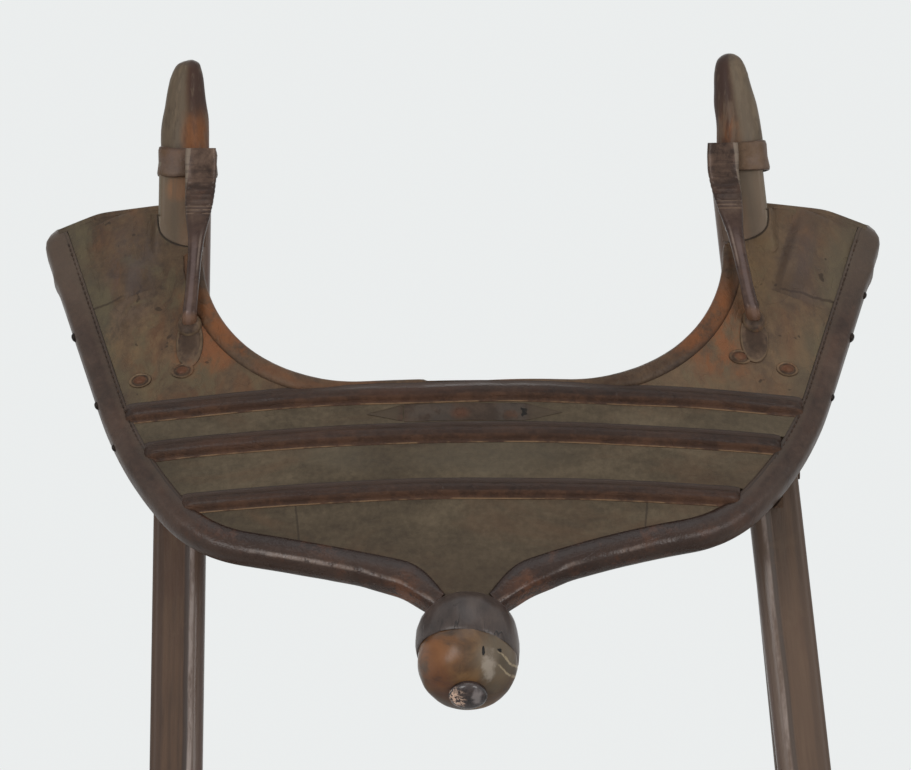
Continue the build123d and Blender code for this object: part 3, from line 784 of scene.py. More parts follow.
def make_gussets(materials):
    cut, spread = even(CUT, 1.6), even(SPREAD, 1.6)
    spread = read_at(np.linspace(0, 1, len(cut)), spread, np.linspace(0, 1, len(spread)))
    for name, side in SIDES.items():
        rings = []
        for a, b in zip(softened(cut, 2), softened(spread, 4)):
            row = []
            for t in np.linspace(0, 1, 11):
                inside, z = a + (b - a) * t
                u = post_edge(side, z) - inside
                low = wing_y(u, z) + 0.9 * t ** 3 - 0.35
                over = ramped(inside, -6.5, -0.5)
                raised = max(0.0, low - (post_y(z) - POST_FRONT - 0.5)) * over * over * (3 - 2 * over)
                row.append((u, low - raised, z))
            rings.append(backed(row, side, 2.2))
        mesh = skin(f"post_gusset_{name}", rings, [*np.linspace(0, 1, 11), *[1.0] * 11])
        piece(mesh, materials[side], "wing_leather")


def make_tongues(materials):
    cut = np.array(CUT)[::-1]
    for name, side in SIDES.items():
        rings = []
        for z in np.arange(TONGUE_TOP, TONGUE_FOOT, -0.8):
            outer = float(np.interp(z, cut[:, 1], cut[:, 0])) + 0.5
            row = []
            for t in np.linspace(0, 1, 12):
                u = post_edge(side, z) - (outer + (TONGUE_REACH - outer) * t)
                round_off = 0.5 * max(0.0, 1 - 12 * t) + 1.3 * ramped(z, 564, 576)
                row.append((u, min(post_y(z) - POST_FRONT, wing_y(u, z)) - 0.9 + round_off, z))
            rings.append(backed(row, side, 3.5))
        piece(skin(f"post_tongue_{name}", rings), materials[side], "post_leather")


# %% [markdown]
# ## Turned pieces
# The pommel's cup and dome, the feet of the braces and the rivets are outlines turned about an axis. A little noise
# and a stretch take away the lathe's perfection. The cup's mouth is cut aslant, as on the old saddle.


# %% Turning an outline about an axis
def turned(place, outline, stretch=(1, 1), count=40, rough=0.0, seed=0.0, slant=0.0):
    rings = []
    for radius, height in outline:
        ring = []
        for a in round_angles(count):
            x, y = math.cos(a) * radius, math.sin(a) * radius
            grow = 1 + wobble((x / 12, y / 12, height / 12), 1.0, rough, seed)
            tilt = slant * x / CUP_RADIUS * max(0.0, height / CUP_HEIGHT) ** 2
            ring.append(place @ (Vector((x * stretch[0] * grow, y * stretch[1] * grow, height + tilt)) * MM))
        rings.append(ring)
    return rings


AXIS = math.radians(40)
POMMEL = (Matrix.Translation(Vector((0, -189.28, 288.26)) * MM)
          @ Matrix(((1, 0, 0), (0, math.cos(AXIS), -math.sin(AXIS)), (0, -math.sin(AXIS), -math.cos(AXIS)))).to_4x4())
CUP_RADIUS, CUP_HEIGHT = 36, 40
CUP = ((22, 0), (26, 0.3), (28.5, 3), (31.5, 7), (34.2, 12), (35.8, 18), (36.4, 25), (36.4, 31), (36.0, 36),
       (35.6, 38.6), (34.9, 39.6), (34.0, 39.2), (33.4, 37), (20, 35))
DOME_HEIGHTS = (36, 39, 42, 45, 48, 51, 54, 57, 60, 62.5, 65, 67, 69, 70.6, 72, 73, 73.7)
DOME = [(31, 33), (34.2, 35)]
DOME += [(34.9 * (1 - ((max(h, 40) - 40) / 34) ** 2.5) ** 0.5, h) for h in DOME_HEIGHTS]
DOME += [(2.0, 73.95)]
BOSS = ((12, -4), (13.4, 0.0), (13.6, 1.8), (12.8, 3.6), (10.6, 5.4), (7.6, 6.8), (4.4, 7.5), (1.6, 7.8))


def make_pommel(cup_look, dome_look, boss_look):
    tip = POMMEL @ Matrix.Translation(Vector((0.2, -3.8, 72.6)) * MM)
    cup = turned(POMMEL, CUP, count=64, rough=0.02, seed=3, slant=4.5)
    dome = turned(POMMEL, DOME, count=64, rough=0.03, seed=6)
    boss = turned(tip, BOSS, count=36, rough=0.05, seed=8)
    for name, rings, look in (("cup", cup, cup_look), ("dome", dome, dome_look), ("boss", boss, boss_look)):
        piece(skin(f"pommel_{name}_turned", rings), look, f"{name}_wood", f"pommel_{name}")


# %% Feet of the braces, and the wings' rivets
FEET = {-1: ((10.4, 1.2), (10.2, 2.6), (9.0, 3.4), (7.6, 3.0), (6.4, 4.0), (4, 4.6), (1.5, 4.7)),
        1: ((10.6, 1.2), (10.4, 3.0), (9.2, 3.7), (6, 4.0), (1.5, 4.1))}
FOOT_STRETCH = {-1: (1.0, 2.05), 1: (0.98, 2.0)}
KNOB = ((9.0, 2.0), (8.6, 4.6), (7.2, 6.6), (5.0, 8.0), (2.0, 8.7))
RIVET = ((8.8, 1.2), (8.5, 2.5), (7.6, 2.9), (6.4, 2.4), (5.4, 2.6), (4.4, 3.5), (2.8, 4.1), (1.0, 4.3))
RIVETS = {-1: ((-205, 20.5), (-236, 16.5)), 1: ((201, 27), (235.5, 20.5))}


def make_feet_and_rivets(foot_look, rivet_look):
    for name, side in SIDES.items():
        u = BRACE_X[side][1] - side * 0.6
        plate = turned(apron_frame(u, 44.0, 0), FEET[side], FOOT_STRETCH[side], rough=0.05, seed=side)
        knob = turned(apron_frame(u, 58.0, 0), KNOB, (1.0, 1.15), rough=0.06, seed=side + 2)
        mesh = joined(f"brace_seat_{name}", [skin("plate", plate), skin("knob", knob)])
        piece(mesh, foot_look, "foot_leather", f"brace_foot_{name}")
        heads = [skin("head", turned(apron_frame(*at, 0), RIVET, (1.0, 0.7), 28, 0.06, at[0])) for at in RIVETS[side]]
        piece(joined(f"pressed_rivets_{name}", heads), rivet_look, "rivet_iron", f"wing_rivets_{name}")


# %% [markdown]
# ## A finish as a ground and its layers
# Old hide, wood and iron look alike in one way: a ground of two or three tones, and over it stains, wear and dirt,
# each in its own places; on some pieces the layers also paint shade and highlights. So a finish keeps the colour so
# far and lays one colour after another over it, each with a mask that says where. The masks are noise, distances and
# the two numbers that a skin carries.


# %% A finish and its masks
MIX_SHARE, MIX_UNDER, MIX_OVER, MIX_RESULT = 0, 6, 7, 2


def rgb(red, green, blue):
    """A colour as the eye reads it, 0 to 255, turned to the light values that a shader uses."""
    shares = [c / 255 for c in (red, green, blue)]
    return tuple(c / 12.92 if c <= 0.04045 else ((c + 0.055) / 1.055) ** 2.4 for c in shares)


class Finish(Net):
    """A material that is being laid: its colour so far, its gloss, and the masks for its layers."""

    def __init__(self, name):
        self.material = bpy.data.materials.new(name)
        self.material.use_nodes = True
        super().__init__(self.material.node_tree)
        self.shader = self.tree.nodes["Principled BSDF"]
        self.place = self.node("ShaderNodeTexCoord", {}, [], "Object")
        self.colour, self.gloss = None, 0.5

    def axis(self, which):
        return self.node("ShaderNodeSeparateXYZ", {}, [self.place], "XYZ".index(which))

    def mark(self, name):
        """A number that the piece carries at each point: across or along."""
        return self.node("ShaderNodeAttribute", {"attribute_name": name}, [], "Fac")

    def turned(self, rotation):
        """Places measured along turned axes."""
        turn = [math.radians(a) for a in rotation]
        return self.node("ShaderNodeMapping", {"vector_type": "TEXTURE"}, [self.place, (0, 0, 0), turn, (1, 1, 1)])

    def noise(self, scale, detail=4.0, rough=0.55, stretch=(1, 1, 1), shift=(0, 0, 0), bend=0.0, vector=None):
        vector = self.node("ShaderNodeMapping", {}, [vector or self.place, shift, (0, 0, 0), stretch])
        values = {"Vector": vector, "Scale": scale, "Detail": detail, "Roughness": rough, "Distortion": bend}
        return self.node("ShaderNodeTexNoise", {}, values)

    def waver(self, width, *noise, **more):
        """A length that wavers to both sides of nought, for ragged borders."""
        return (self.noise(*noise, **more) - 0.5) * width

    def step(self, value, low, high):
        """0 under low, 1 over high, and smooth between."""
        values = {"Value": value, "From Min": low, "From Max": high}
        return self.node("ShaderNodeMapRange", {"interpolation_type": "SMOOTHSTEP"}, values)

    def blots(self, low, high, *noise, **more):
        """1 in the blots where the noise is over high, 0 outside them."""
        return self.step(self.noise(*noise, **more), low, high)

    def band(self, value, middle, half, soft):
        """1 where a value is near the middle, 0 away from it."""
        return 1 - self.step((value - middle).size(), half, half + soft)

    def near(self, point, radius, ragged=0.5, stretch=(1, 1, 1), grain=30):
        """1 near a point of the stool, 0 beyond the radius, with a ragged border."""
        offset = self.node("ShaderNodeVectorMath", {"operation": "SUBTRACT"}, [self.place, point])
        offset = self.node("ShaderNodeVectorMath", {"operation": "MULTIPLY"}, [offset, stretch])
        away = self.node("ShaderNodeVectorMath", {"operation": "LENGTH"}, [offset], "Value")
        return 1 - self.step(away + self.waver(radius * ragged * 2, grain, 4, 0.6), radius * 0.3, radius)

    def ground(self, tone, levels, *shades):
        """The first colour: shades from dark to light, each reached at its level of the tone."""
        stops = [(level, rgb(*shade)) for level, shade in zip(levels, shades)]
        self.colour = self.node("ShaderNodeValToRGB", {"stops": stops}, [tone])

    def lay(self, share, *shade):
        """Lay a shade over this share of the colour so far."""
        values = {MIX_SHARE: share, MIX_UNDER: self.colour, MIX_OVER: rgb(*shade)}
        self.colour = self.node("ShaderNodeMix", {"data_type": "RGBA"}, values, MIX_RESULT)

    def bump(self, height, strength, distance, under=None):
        values = {"Height": height, "Strength": strength, "Distance": distance}
        if under:
            values["Normal"] = under
        return self.node("ShaderNodeBump", {}, values)

    def finish(self, normal, **plain):
        """Wire colour, gloss and normal to the shader, set its plain numbers, and give the material."""
        inputs = {"Base Color": self.colour, "Roughness": self.gloss.clamp(), "Normal": normal}
        inputs["Specular IOR Level"] = 0.2
        inputs.update({name.replace("_", " "): value for name, value in plain.items()})
        for name, value in inputs.items():
            self.set(self.shader.inputs[name], value)
        return self.material


print("a mid brown as light:", [round(c, 3) for c in rgb(84, 74, 61)])

# %% [markdown]
# ## Old hide
# The hide on this saddle is thin, stretched and a hundred years dirty. Three scales make it: broad stains of brown,
# olive and rust; a finer cloud in them; and a fine grain with wrinkles that only the light shows. Each kind of hide on
# the saddle takes the same recipe with its own colours and gloss, and a function that adds its wear, and on the rims,
# ribs, folds and cut edges painted shade and highlights too.


# %% A recipe for hide
def hide(name, dark, mid, light, rust, rust_share=0.3, rough=0.58, grain=0.3, crease=0.5, run=(1, 1, 1), wear=None,
         broad_bump=0.5, shine=0.2):
    """Stained old leather. wear(net) may add layers in certain places."""
    net = Finish(name)
    broad = net.noise(9, 5, 0.6, stretch=run, bend=0.5)
    cloud = net.noise(42, 6, 0.64, stretch=run, shift=(3, 1, 2))
    fleck = net.noise(230, 3, 0.6, shift=(1, 5, 2))
    net.ground(broad * 0.5 + cloud * 0.36 + fleck * 0.24, (0.42, 0.54, 0.68), dark, mid, light)
    net.lay(net.blots(0.48, 0.68, 15, 5, 0.68, stretch=run, shift=(7, 2, 9), bend=0.7) * rust_share, *rust)
    wrinkle = net.band(net.noise(30, 3, 0.5, stretch=run, shift=(2, 8, 5), bend=0.9), 0.5, 0.0, 0.018)
    net.lay(wrinkle * crease * 0.16, *dark)
    net.lay(net.blots(0.66, 0.74, 110, 2, 0.5, stretch=(0.3, 1, 1.5), shift=(4, 4, 0)) * 0.2, *light)
    net.gloss = rough + (cloud - 0.5) * 0.3 + (fleck - 0.5) * 0.15
    if wear:
        wear(net)
    grains = net.node("ShaderNodeTexVoronoi", {"feature": "F1"}, {"Vector": net.place, "Scale": 560})
    normal = net.bump(grains, grain, 0.0005)
    normal = net.bump(wrinkle * -0.6 * crease + cloud, 0.4, 0.0016, normal)
    return net.finish(net.bump(broad, broad_bump, 0.004, normal), Specular_IOR_Level=shine)


# %% Wear of the covers and the wings
COVER_SEAMS = ((-0.121, 0.1), (0.129, -0.12))
WING_LAPS = {-1: (0.5157, 0.455, 0.250, 0.279), 1: (0.5122, 0.245, 0.232, 0.285)}


def band_wear(net):
    """Darker by the rim and low down, the two seams of the lower cover, a lap in the hide, and a pale stain."""
    x, z = net.axis("X"), net.axis("Z")
    low = 1 - net.step(z + net.waver(0.06, 18, 4), 0.30, 0.37)
    net.lay(low * 0.35, 66, 52, 42)
    apart = (x.size() - 0.105 - (z - 0.42).size() * 0.25).high(0.0)
    net.lay(net.step(apart, 0.02, 0.12) * 0.25, 74, 68, 57)
    for middle, tilt in COVER_SEAMS:
        cut = net.band(x + (z - 0.36) * tilt + net.waver(0.002, 60, 2), middle, 0.0004, 0.0006)
        cut = cut * (1 - net.step(z, 0.374, 0.376))
        net.lay(cut * 0.6, 42, 34, 28)
    lap = net.band(z + x * 0.10 + net.waver(0.02, 16, 3, shift=(4, 4, 1)), 0.4035, 0.0004, 0.0012)
    lap = lap * net.band(x, -0.045, 0.012, 0.03)
    net.lay(lap * 0.4, 58, 46, 38)
    pale = net.near((-0.10, -0.14, 0.405), 0.05, 0.6, (1, 1, 2.4))
    pale = (pale + net.near((0.02, -0.15, 0.40), 0.06, 0.5, (0.6, 1, 2.6))).clamp()
    net.lay(pale * 0.32, 100, 92, 78)


def wing_wear(net, side):
    """Rust and orange where the post, the brace and the dip rub the wing, olive towards its edge."""
    x = net.axis("X") * side
    z = net.axis("Z")
    streaks = net.noise(30, 5, 0.7, stretch=(2.6, 2.6, 0.45), shift=(side * 3, 0, 1))
    ragged = net.waver(0.03, 24, 4)
    olive = net.step(x - (z - 0.54) * 0.34 + ragged, 0.262, 0.282)
    net.lay(olive * 0.7, 86, 80, 66)
    stain = net.noise(21, 5, 0.66, stretch=(1.2, 1.2, 0.8), shift=(side * 5, 6, 2), bend=0.8)
    net.lay(net.step(stain, 0.52, 0.62) * 0.5, 72, 56, 48)
    net.lay((1 - net.step(stain, 0.36, 0.47)) * 0.5, 104, 94, 72)
    tan = net.step(streaks, 0.46, 0.66) * net.near((side * 0.237, -0.06, 0.492), 0.062, 0.5, (1, 1, 0.9))
    net.lay(tan * 0.55, 124, 100, 74)
    red = net.near((side * 0.186, -0.07, 0.487), 0.042, 0.8, (1.2, 1, 0.8)) * (0.4 + streaks)
    if side == -1:
        red = red + net.near((-0.268, -0.035, 0.566), 0.03, 0.7, (2.2, 1, 0.8)) * 0.9
        blue = net.near((-0.246, -0.04, 0.540), 0.045, 0.5, (1.6, 1, 0.7)) * net.step(streaks, 0.4, 0.6)
        net.lay(blue * 0.4, 82, 74, 74)
    else:
        gold = net.near((0.222, -0.05, 0.550), 0.038, 0.6, (1.3, 1, 0.8))
        net.lay(gold * 0.7, 134, 106, 70)
        net.lay(0.12, 132, 114, 94)
        # Painted shade over the right wing's fold.
        shade = net.near((0.250, -0.04, 0.548), 0.04, 0.5, (1.5, 1, 0.7))
        net.lay(shade * 0.4, 80, 66, 60)
    net.lay((red * net.step(streaks, 0.36, 0.6)).clamp() * 0.7, 136, 84, 52)
    lift, tilt, start, stop = WING_LAPS[side]
    lap = net.band(z + (x - 0.2545) * tilt + net.waver(0.008, 50, 3), lift, 0.0004, 0.0009)
    lap = lap * net.step(x, start, start + 0.004) * (1 - net.step(x, stop - 0.004, stop))
    net.lay(lap * 0.6, 48, 36, 29)
    spots = net.blots(0.70, 0.74, 95, 2, 0.5, shift=(9, side, 4))
    net.lay(spots * 0.7, 48, 38, 30)
    net.gloss += olive * 0.06


def fold_shade(net, side):
    """The wing's wear, a grey crown, painted shade in the crease beside the fold and a painted shadow under its foot.
    """
    wing_wear(net, side)
    across = net.mark("across") + net.waver(5, 40, 3)
    along = net.mark("along") + net.waver(0.012, 50, 3)
    crown = net.band(across, 2.0, 2.0, 6.0) * net.step(along, 0.004, 0.03)
    net.lay(crown * 0.22, 84, 77, 76)
    # Painted shade in the crease beside the fold, and a painted shadow under the fold's foot.
    crease = net.band(across, -12.5, 1.5, 4.0) * (0.15 if side == -1 else 0.5) * net.step(along, 0.0, 0.03)
    foot = net.step(along, 0.050, 0.066) * net.band(across, -2, 5, 9)
    net.lay(crease.high(foot * 0.35), 54, 40, 34)


def cut_edge(net, side):
    """The wing's wear, and a line of painted shade in the gap where the hide is cut round the post."""
    wing_wear(net, side)
    # Painted shade in the gap along the cut edge of the hide.
    gap_shade = 1 - net.step(net.mark("across"), 0.05, 0.13)
    net.lay(gap_shade * 0.85, 34, 26, 20)


def lip_wear(net):
    """Rubbed to orange and rust along the crown, dark where the lip meets the wing."""
    across = net.mark("across")
    streak = net.noise(55, 5, 0.7, shift=(3, 3, 3))
    crown = net.band(across, 5.0, 2.0, 5.0) * net.step(streak, 0.42, 0.62)
    net.lay(crown * (0.05 + net.band(net.axis("Z"), 0.492, 0.012, 0.016) * 0.55), 138, 84, 48)
    rusty = net.band(net.axis("Z"), 0.500, 0.014, 0.02) * net.step(streak, 0.36, 0.54)
    net.lay(rusty * 0.45, 132, 80, 46)
    edge = net.step(across, 11.6, 13.0)
    net.lay(edge * 0.45, 56, 42, 33)


def rim_wear(net):
    """Grey dust outside and a dark seam inside; a dark, glossy belly with red-brown places, painted shade along its
    inner side and a painted highlight streak; rust at the neck.
    """
    across, along = net.mark("across"), net.mark("along")
    dusty = (1 - net.step(across, -0.9, 0.35)) * net.blots(0.38, 0.6, 34, 5, 0.65)
    belly = net.step(along, 0.24, 0.33)
    net.lay(dusty * (0.45 - belly * 0.2), 98, 84, 75)
    upper = net.step(net.axis("Z") + net.waver(0.03, 30, 4), 0.485, 0.545)
    net.lay(upper * 0.5, 98, 84, 72)
    flat = net.step(across, 0.1, 0.5) * (1 - belly)
    net.lay(flat * 0.35, 86, 72, 60)
    seam_line = net.band(across + net.waver(0.1, 90, 2), 0.76, 0.03, 0.05)
    net.lay((1 - belly) * seam_line * (0.6 - upper * 0.25), 36, 28, 23)
    crease = net.step(across, 0.8, 0.98)
    net.lay(crease * (0.6 - upper * 0.3), 44, 34, 28)
    net.lay(belly * 0.5, 52, 35, 29)
    # Painted shade along the belly's inner side, where the roll meets the hide.
    net.lay(belly * net.step(across, 0.0, 0.5) * 0.8, 42, 28, 24)
    # A painted highlight streak along the crest of the belly's roll.
    painted_highlight = net.blots(0.42, 0.6, 24, 4, 0.7, shift=(7, 1, 1)) * net.blots(0.36, 0.5, 140, 3, 0.6, shift=(3, 3, 8))
    painted_highlight = painted_highlight * net.band(across, -0.26, 0.04, 0.12) * net.step(along, 0.30, 0.36)
    net.lay(painted_highlight * 0.4, 170, 150, 138)
    rubbed = belly * net.blots(0.52, 0.66, 36, 5, 0.7, shift=(2, 6, 1))
    net.lay(rubbed * 0.4, 102, 66, 48)
    neck = net.near((0.040, -0.178, 0.303), 0.024, 0.5) + net.near((-0.041, -0.178, 0.303), 0.024, 0.5)
    neck = neck.clamp() * net.blots(0.38, 0.54, 90, 4, 0.7, shift=(2, 2, 2))
    net.lay(neck * 0.75, 126, 80, 54)
    net.gloss += dusty * 0.06 - belly * 0.2


def rib_wear(net):
    """A grey-brown sheen of light painted on the upper slope, a dark crest, a rough reddish foot and a thin pale line
    where the dust lies.
    """
    across = net.mark("across") + net.waver(1.6, 70, 3)
    # The upper slope painted lighter and grey-brown: a painted sheen of light from above.
    slope = net.step(across, 2.0, 4.2)
    net.lay(slope * 0.55, 82, 70, 64)
    foot = 1 - net.step(across, -4.6, -3.0)
    rough_red = net.blots(0.42, 0.62, 80, 4, 0.7, shift=(1, 1, 6))
    net.lay(foot * (0.2 + rough_red * 0.45), 92, 64, 47)
    line = net.band(net.mark("across"), -8.4, 0.25, 0.35) * net.blots(0.38, 0.54, 48, 3, 0.6, shift=(5, 0, 0))
    net.lay(line * 0.7, 142, 114, 84)
    crack = net.band(net.mark("across"), 8.0, 0.3, 0.4)
    net.lay(crack * 0.5, 44, 36, 30)
    net.gloss += foot * 0.14


# %% Hides
WING_TONES = (72, 58, 46), (94, 76, 59), (116, 94, 72), (112, 74, 50)


def wing_hides(kind, wear, rough=0.56):
    """The wings' hide, one for each side, with one kind of wear, which on the folds and cut edges adds painted shade.
    """
    return {side: hide(f"{kind}_hide_{name}", *WING_TONES, 0.4, rough, 0.32, 0.7, (1.5, 1.5, 0.8),
                       lambda net: wear(net, side)) for name, side in SIDES.items()}


band_hide = hide("band_hide", (60, 50, 39), (82, 71, 56), (106, 93, 75), (96, 70, 51), 0.35, 0.52, 0.22, 0.35,
                 (0.55, 1, 1.5), band_wear, broad_bump=0.35)
wing_hide = wing_hides("wing", wing_wear)
gusset_hide = wing_hides("gusset", cut_edge)
fold_hide = wing_hides("fold", fold_shade, 0.5)
board_hide = hide("board_hide", (44, 33, 26), (64, 48, 37), (88, 66, 48), (98, 62, 42), rough=0.6)
lip_hide = hide("lip_hide", (60, 45, 35), (84, 66, 51), (106, 84, 64), (122, 76, 48), 0.45, 0.46, crease=0.6,
                wear=lip_wear)
rim_hide = hide("rim_hide", (48, 35, 29), (66, 50, 42), (84, 66, 56), (88, 58, 42), 0.3, 0.44, 0.2, 0.2,
                (1.3, 1.3, 1.3), rim_wear, 0.3, 0.27)
rib_hide = hide("rib_hide", (38, 26, 21), (54, 38, 30), (74, 54, 43), (90, 56, 38), 0.3, 0.42, 0.3, 0.4,
                (0.5, 1.4, 1.6), rib_wear, 0.2, 0.22)
thread = hide("waxed_thread", (44, 34, 28), (62, 48, 39), (80, 64, 52), (84, 56, 42), rough=0.6)
print("hides:", len(bpy.data.materials) - 1)

# %% [markdown]
# ## Wood, iron and the pommel
# The posts are painted flats with one polished bead, so their finish measures how far a point is from the post's own
# line; it paints a highlight on the bead and shade in the groove beside it. Grain is noise drawn out along the wood.
# The pommel's dome has a skin of resin with cracks, pale splinters and a painted highlight.


# %% Wood that knows its own direction
def grained(net, vector, shades, scale=46, long=0.07):
    """A ground of long upright streaks. Gives the fine streaks and the pores, for gloss and bump."""
    fine = net.noise(scale, 6, 0.68, stretch=(1, 1, long), vector=vector, bend=0.35)
    broad = net.noise(11, 4, 0.6, stretch=(1, 1, 0.35), vector=vector)
    pore = net.noise(scale * 5, 2, 0.6, stretch=(1, 1, 0.05), vector=vector)
    net.ground(fine * 0.5 + broad * 0.35 + pore * 0.2, (0.42, 0.54, 0.68), *shades)
    return fine, pore


def post_finish(name, side):
    """Painted wood, with a painted highlight on the bead and on the upper outer edge, and painted shade in the bead's
    groove.
    out and front are how far a point is from the post's own line, sideways and forwards.
    """
    net = Finish(f"post_paint_{name}")
    z = net.axis("Z")
    above = z - CROSSING * MM
    out = net.axis("X") * side - POST_INSET[side] * MM + above * tangent(POST_SPLAY[side])
    front = net.axis("Y") - above * tangent(POST_LEAN) + POST_BACK * MM
    tilt = net.turned((-POST_LEAN, -side * POST_SPLAY[side], 0))
    fine, pore = grained(net, tilt, ((68, 51, 40), (94, 71, 55), (114, 90, 70)))
    blot = net.noise(16, 5, 0.65, stretch=(1, 1, 0.5), shift=(side, 4, 2), bend=0.8)
    net.lay(net.step(blot, 0.5, 0.64) * 0.4, 84, 58, 46)
    scallop = net.waver(0.02, 19, 2, 0.5, stretch=(0.2, 0.2, 1), shift=(0, side, 7))
    high = net.step(z, 0.535, 0.565)
    net.lay(high * 0.55, 112, 98, 78)
    bead = 1 - net.step(out, -0.0086, -0.0070)
    facing = 1 - net.step(front, -0.006, -0.002)
    net.lay(bead * facing * 0.7, 116, 98, 88)
    # A painted highlight streak along the bead.
    streak = net.band(out + scallop * 0.12, -0.0098, 0.0008, 0.0016) * facing
    streak = streak * net.blots(0.34, 0.6, 60, 5, 0.7, stretch=(1, 1, 0.25), shift=(1, 3, 5))
    net.lay(streak * (0.7 - high * 0.2), 186, 171, 164)
    # Painted shade in the groove between the flat and the bead.
    groove = net.band(out + scallop * 0.1, -0.0062, 0.0010, 0.0016) * facing * (1 - high)
    net.lay(groove * 0.75, 44, 32, 28)
    net.lay((1 - net.step(out, -0.0178, -0.0150)) * 0.5, 86, 58, 48)
    rim_line = net.step(out + scallop * 0.3, 0.0098, 0.0126) * (1 - high)
    net.lay(rim_line * 0.5, 66, 50, 42)
    # A painted highlight along the upper post's outer edge.
    painted_edge_highlight = net.step(out, 0.0168, 0.0184) * high
    net.lay(painted_edge_highlight * 0.5, 134, 124, 108)
    dust = net.blots(0.56, 0.7, 26, 5, 0.7, shift=(5, 5, side)) * (1 - bead)
    net.lay(dust * 0.3, 118, 98, 80)
    rub = net.near((side * 0.210, -0.018, 0.598), 0.015, 0.9, (1.3, 0.3, 1.4)) * net.step(fine, 0.40, 0.58)
    net.lay(rub * 0.55, 150, 100, 62)
    inside = net.band(out, -0.001, 0.002, 0.006) * high * net.step(blot, 0.4, 0.6)
    net.lay(inside * 0.35, 134, 98, 70)
    if side == 1:
        net.lay(0.16, 136, 120, 106)
    net.gloss = 0.5 - bead * facing * 0.24 + (fine - 0.5) * 0.2 + dust * 0.12
    normal = net.bump(fine + pore * 0.5, 0.25, 0.0008)
    return net.finish(net.bump(blot, 0.4, 0.002, normal), Specular_IOR_Level=0.36)


def horn_finish():
    net = Finish("horn_carving")
    fine, pore = grained(net, net.place, ((62, 47, 38), (86, 68, 54), (106, 86, 68)), 60, 0.2)
    outer, along = net.mark("across"), net.mark("along")
    ragged = net.waver(0.7, 40, 4, 0.65)
    streak = net.noise(50, 5, 0.7, stretch=(1, 1, 0.3), shift=(4, 2, 8))
    inner = 1 - net.step(outer + ragged * 0.5, -0.35, 0.15)
    net.lay((1 - inner) * 0.5, 116, 104, 86)
    net.lay(inner * 0.65, 84, 55, 42)
    glow = (1 - net.step(along + ragged * 0.3, 0.36, 0.62)) * net.step(along, 0.0, 0.12) * net.step(streak, 0.40, 0.56)
    net.lay(glow * (1 - net.step(outer + ragged * 0.4, -0.25, 0.3)) * 0.6, 146, 92, 52)
    right = net.step(net.axis("X"), -0.05, 0.05)
    net.lay(inner * right * net.step(along, 0.3, 0.5) * 0.4, 58, 42, 37)
    net.lay((1 - inner) * right * 0.3, 140, 127, 109)
    carved = net.blots(0.46, 0.62, 34, 5, 0.7, stretch=(1.6, 1.6, 0.4), shift=(3, 7, 7))
    net.lay(carved * right * 0.3, 78, 64, 54)
    shade = net.step(along + ragged * 0.3, 0.46, 0.66) * net.band(outer, -0.62, 0.3, 0.3)
    net.lay(shade * 0.6, 56, 40, 36)
    top = net.step(along + ragged * 0.1, 0.88, 0.98)
    net.lay(top * 0.5, 70, 58, 54)
    dark_edge = 1 - net.step(outer, -0.98, -0.84)
    net.lay(dark_edge * 0.4, 58, 42, 36)
    net.lay(net.step(streak, 0.54, 0.66) * 0.45, 58, 44, 36)
    fibre = net.noise(120, 4, 0.7, stretch=(1, 1, 0.14), shift=(2, 9, 4))
    net.lay(net.step(fibre, 0.52, 0.62) * 0.3, 134, 116, 96)
    joint = 1 - net.step(along, 0.125, 0.145)
    net.lay(joint * 0.6, 48, 34, 28)
    net.gloss = 0.46 + (fine - 0.5) * 0.3 + (pore - 0.5) * 0.1
    normal = net.bump(fine + pore * 0.4 + streak * 0.8, 0.4, 0.0012)
    return net.finish(net.bump(net.noise(20, 3), 0.4, 0.003, normal))


# %% The seat frame's wood
def seat_wood(name, run):
    """Weathered wood whose grain runs along one of the stool's directions."""
    net = Finish(name)
    stretch = {"X": (0.07, 1, 1), "Y": (1, 0.07, 1), "Z": (1, 1, 0.07)}[run]
    fine = net.noise(52, 6, 0.68, stretch=stretch, bend=0.4)
    pore = net.noise(260, 2, 0.6, stretch=stretch)
    broad = net.noise(7, 4, 0.6)
    tone = fine * 0.5 + broad * 0.35 + pore * 0.2
    net.ground(tone, (0.40, 0.53, 0.68), (62, 46, 36), (88, 67, 51), (112, 88, 67))
    worn = net.blots(0.54, 0.7, 17, 5, 0.7, shift=(3, 9, 1))
    net.lay(worn * 0.35, 122, 98, 74)
    # Darker towards the floor.
    darker_near_floor = 1 - net.step(net.axis("Z") + net.waver(0.05, 20, 4), 0.02, 0.09)
    net.lay(darker_near_floor * 0.5, 56, 44, 36)
    check = net.band(net.noise(26, 2, 0.5, stretch=stretch, shift=(1, 4, 8)), 0.5, 0.001, 0.004)
    net.lay(check * 0.6, 36, 27, 22)
    net.gloss = 0.56 + (fine - 0.5) * 0.3
    normal = net.bump(fine + pore * 0.5 - check, 0.35, 0.0012)
    return net.finish(net.bump(broad, 0.4, 0.004, normal))


# %% Iron, and what is worn like it
def iron(name, dark, mid, light, rust, rough=0.42, metal=0.35, wear=None):
    """Old blackened iron under wax and dust. wear(net) may add layers in certain places."""
    net = Finish(name)
    cloud = net.noise(46, 6, 0.66, bend=0.4)
    fleck = net.noise(240, 3, 0.6)
    net.ground(cloud * 0.7 + fleck * 0.3, (0.4, 0.52, 0.68), dark, mid, light)
    net.lay(net.blots(0.54, 0.68, 60, 5, 0.7, shift=(3, 3, 3)) * 0.4, *rust)
    net.gloss = rough + (cloud - 0.5) * 0.35
    if wear:
        wear(net)
    return net.finish(net.bump(cloud + fleck * 0.3, 0.4, 0.0012), Metallic=metal)


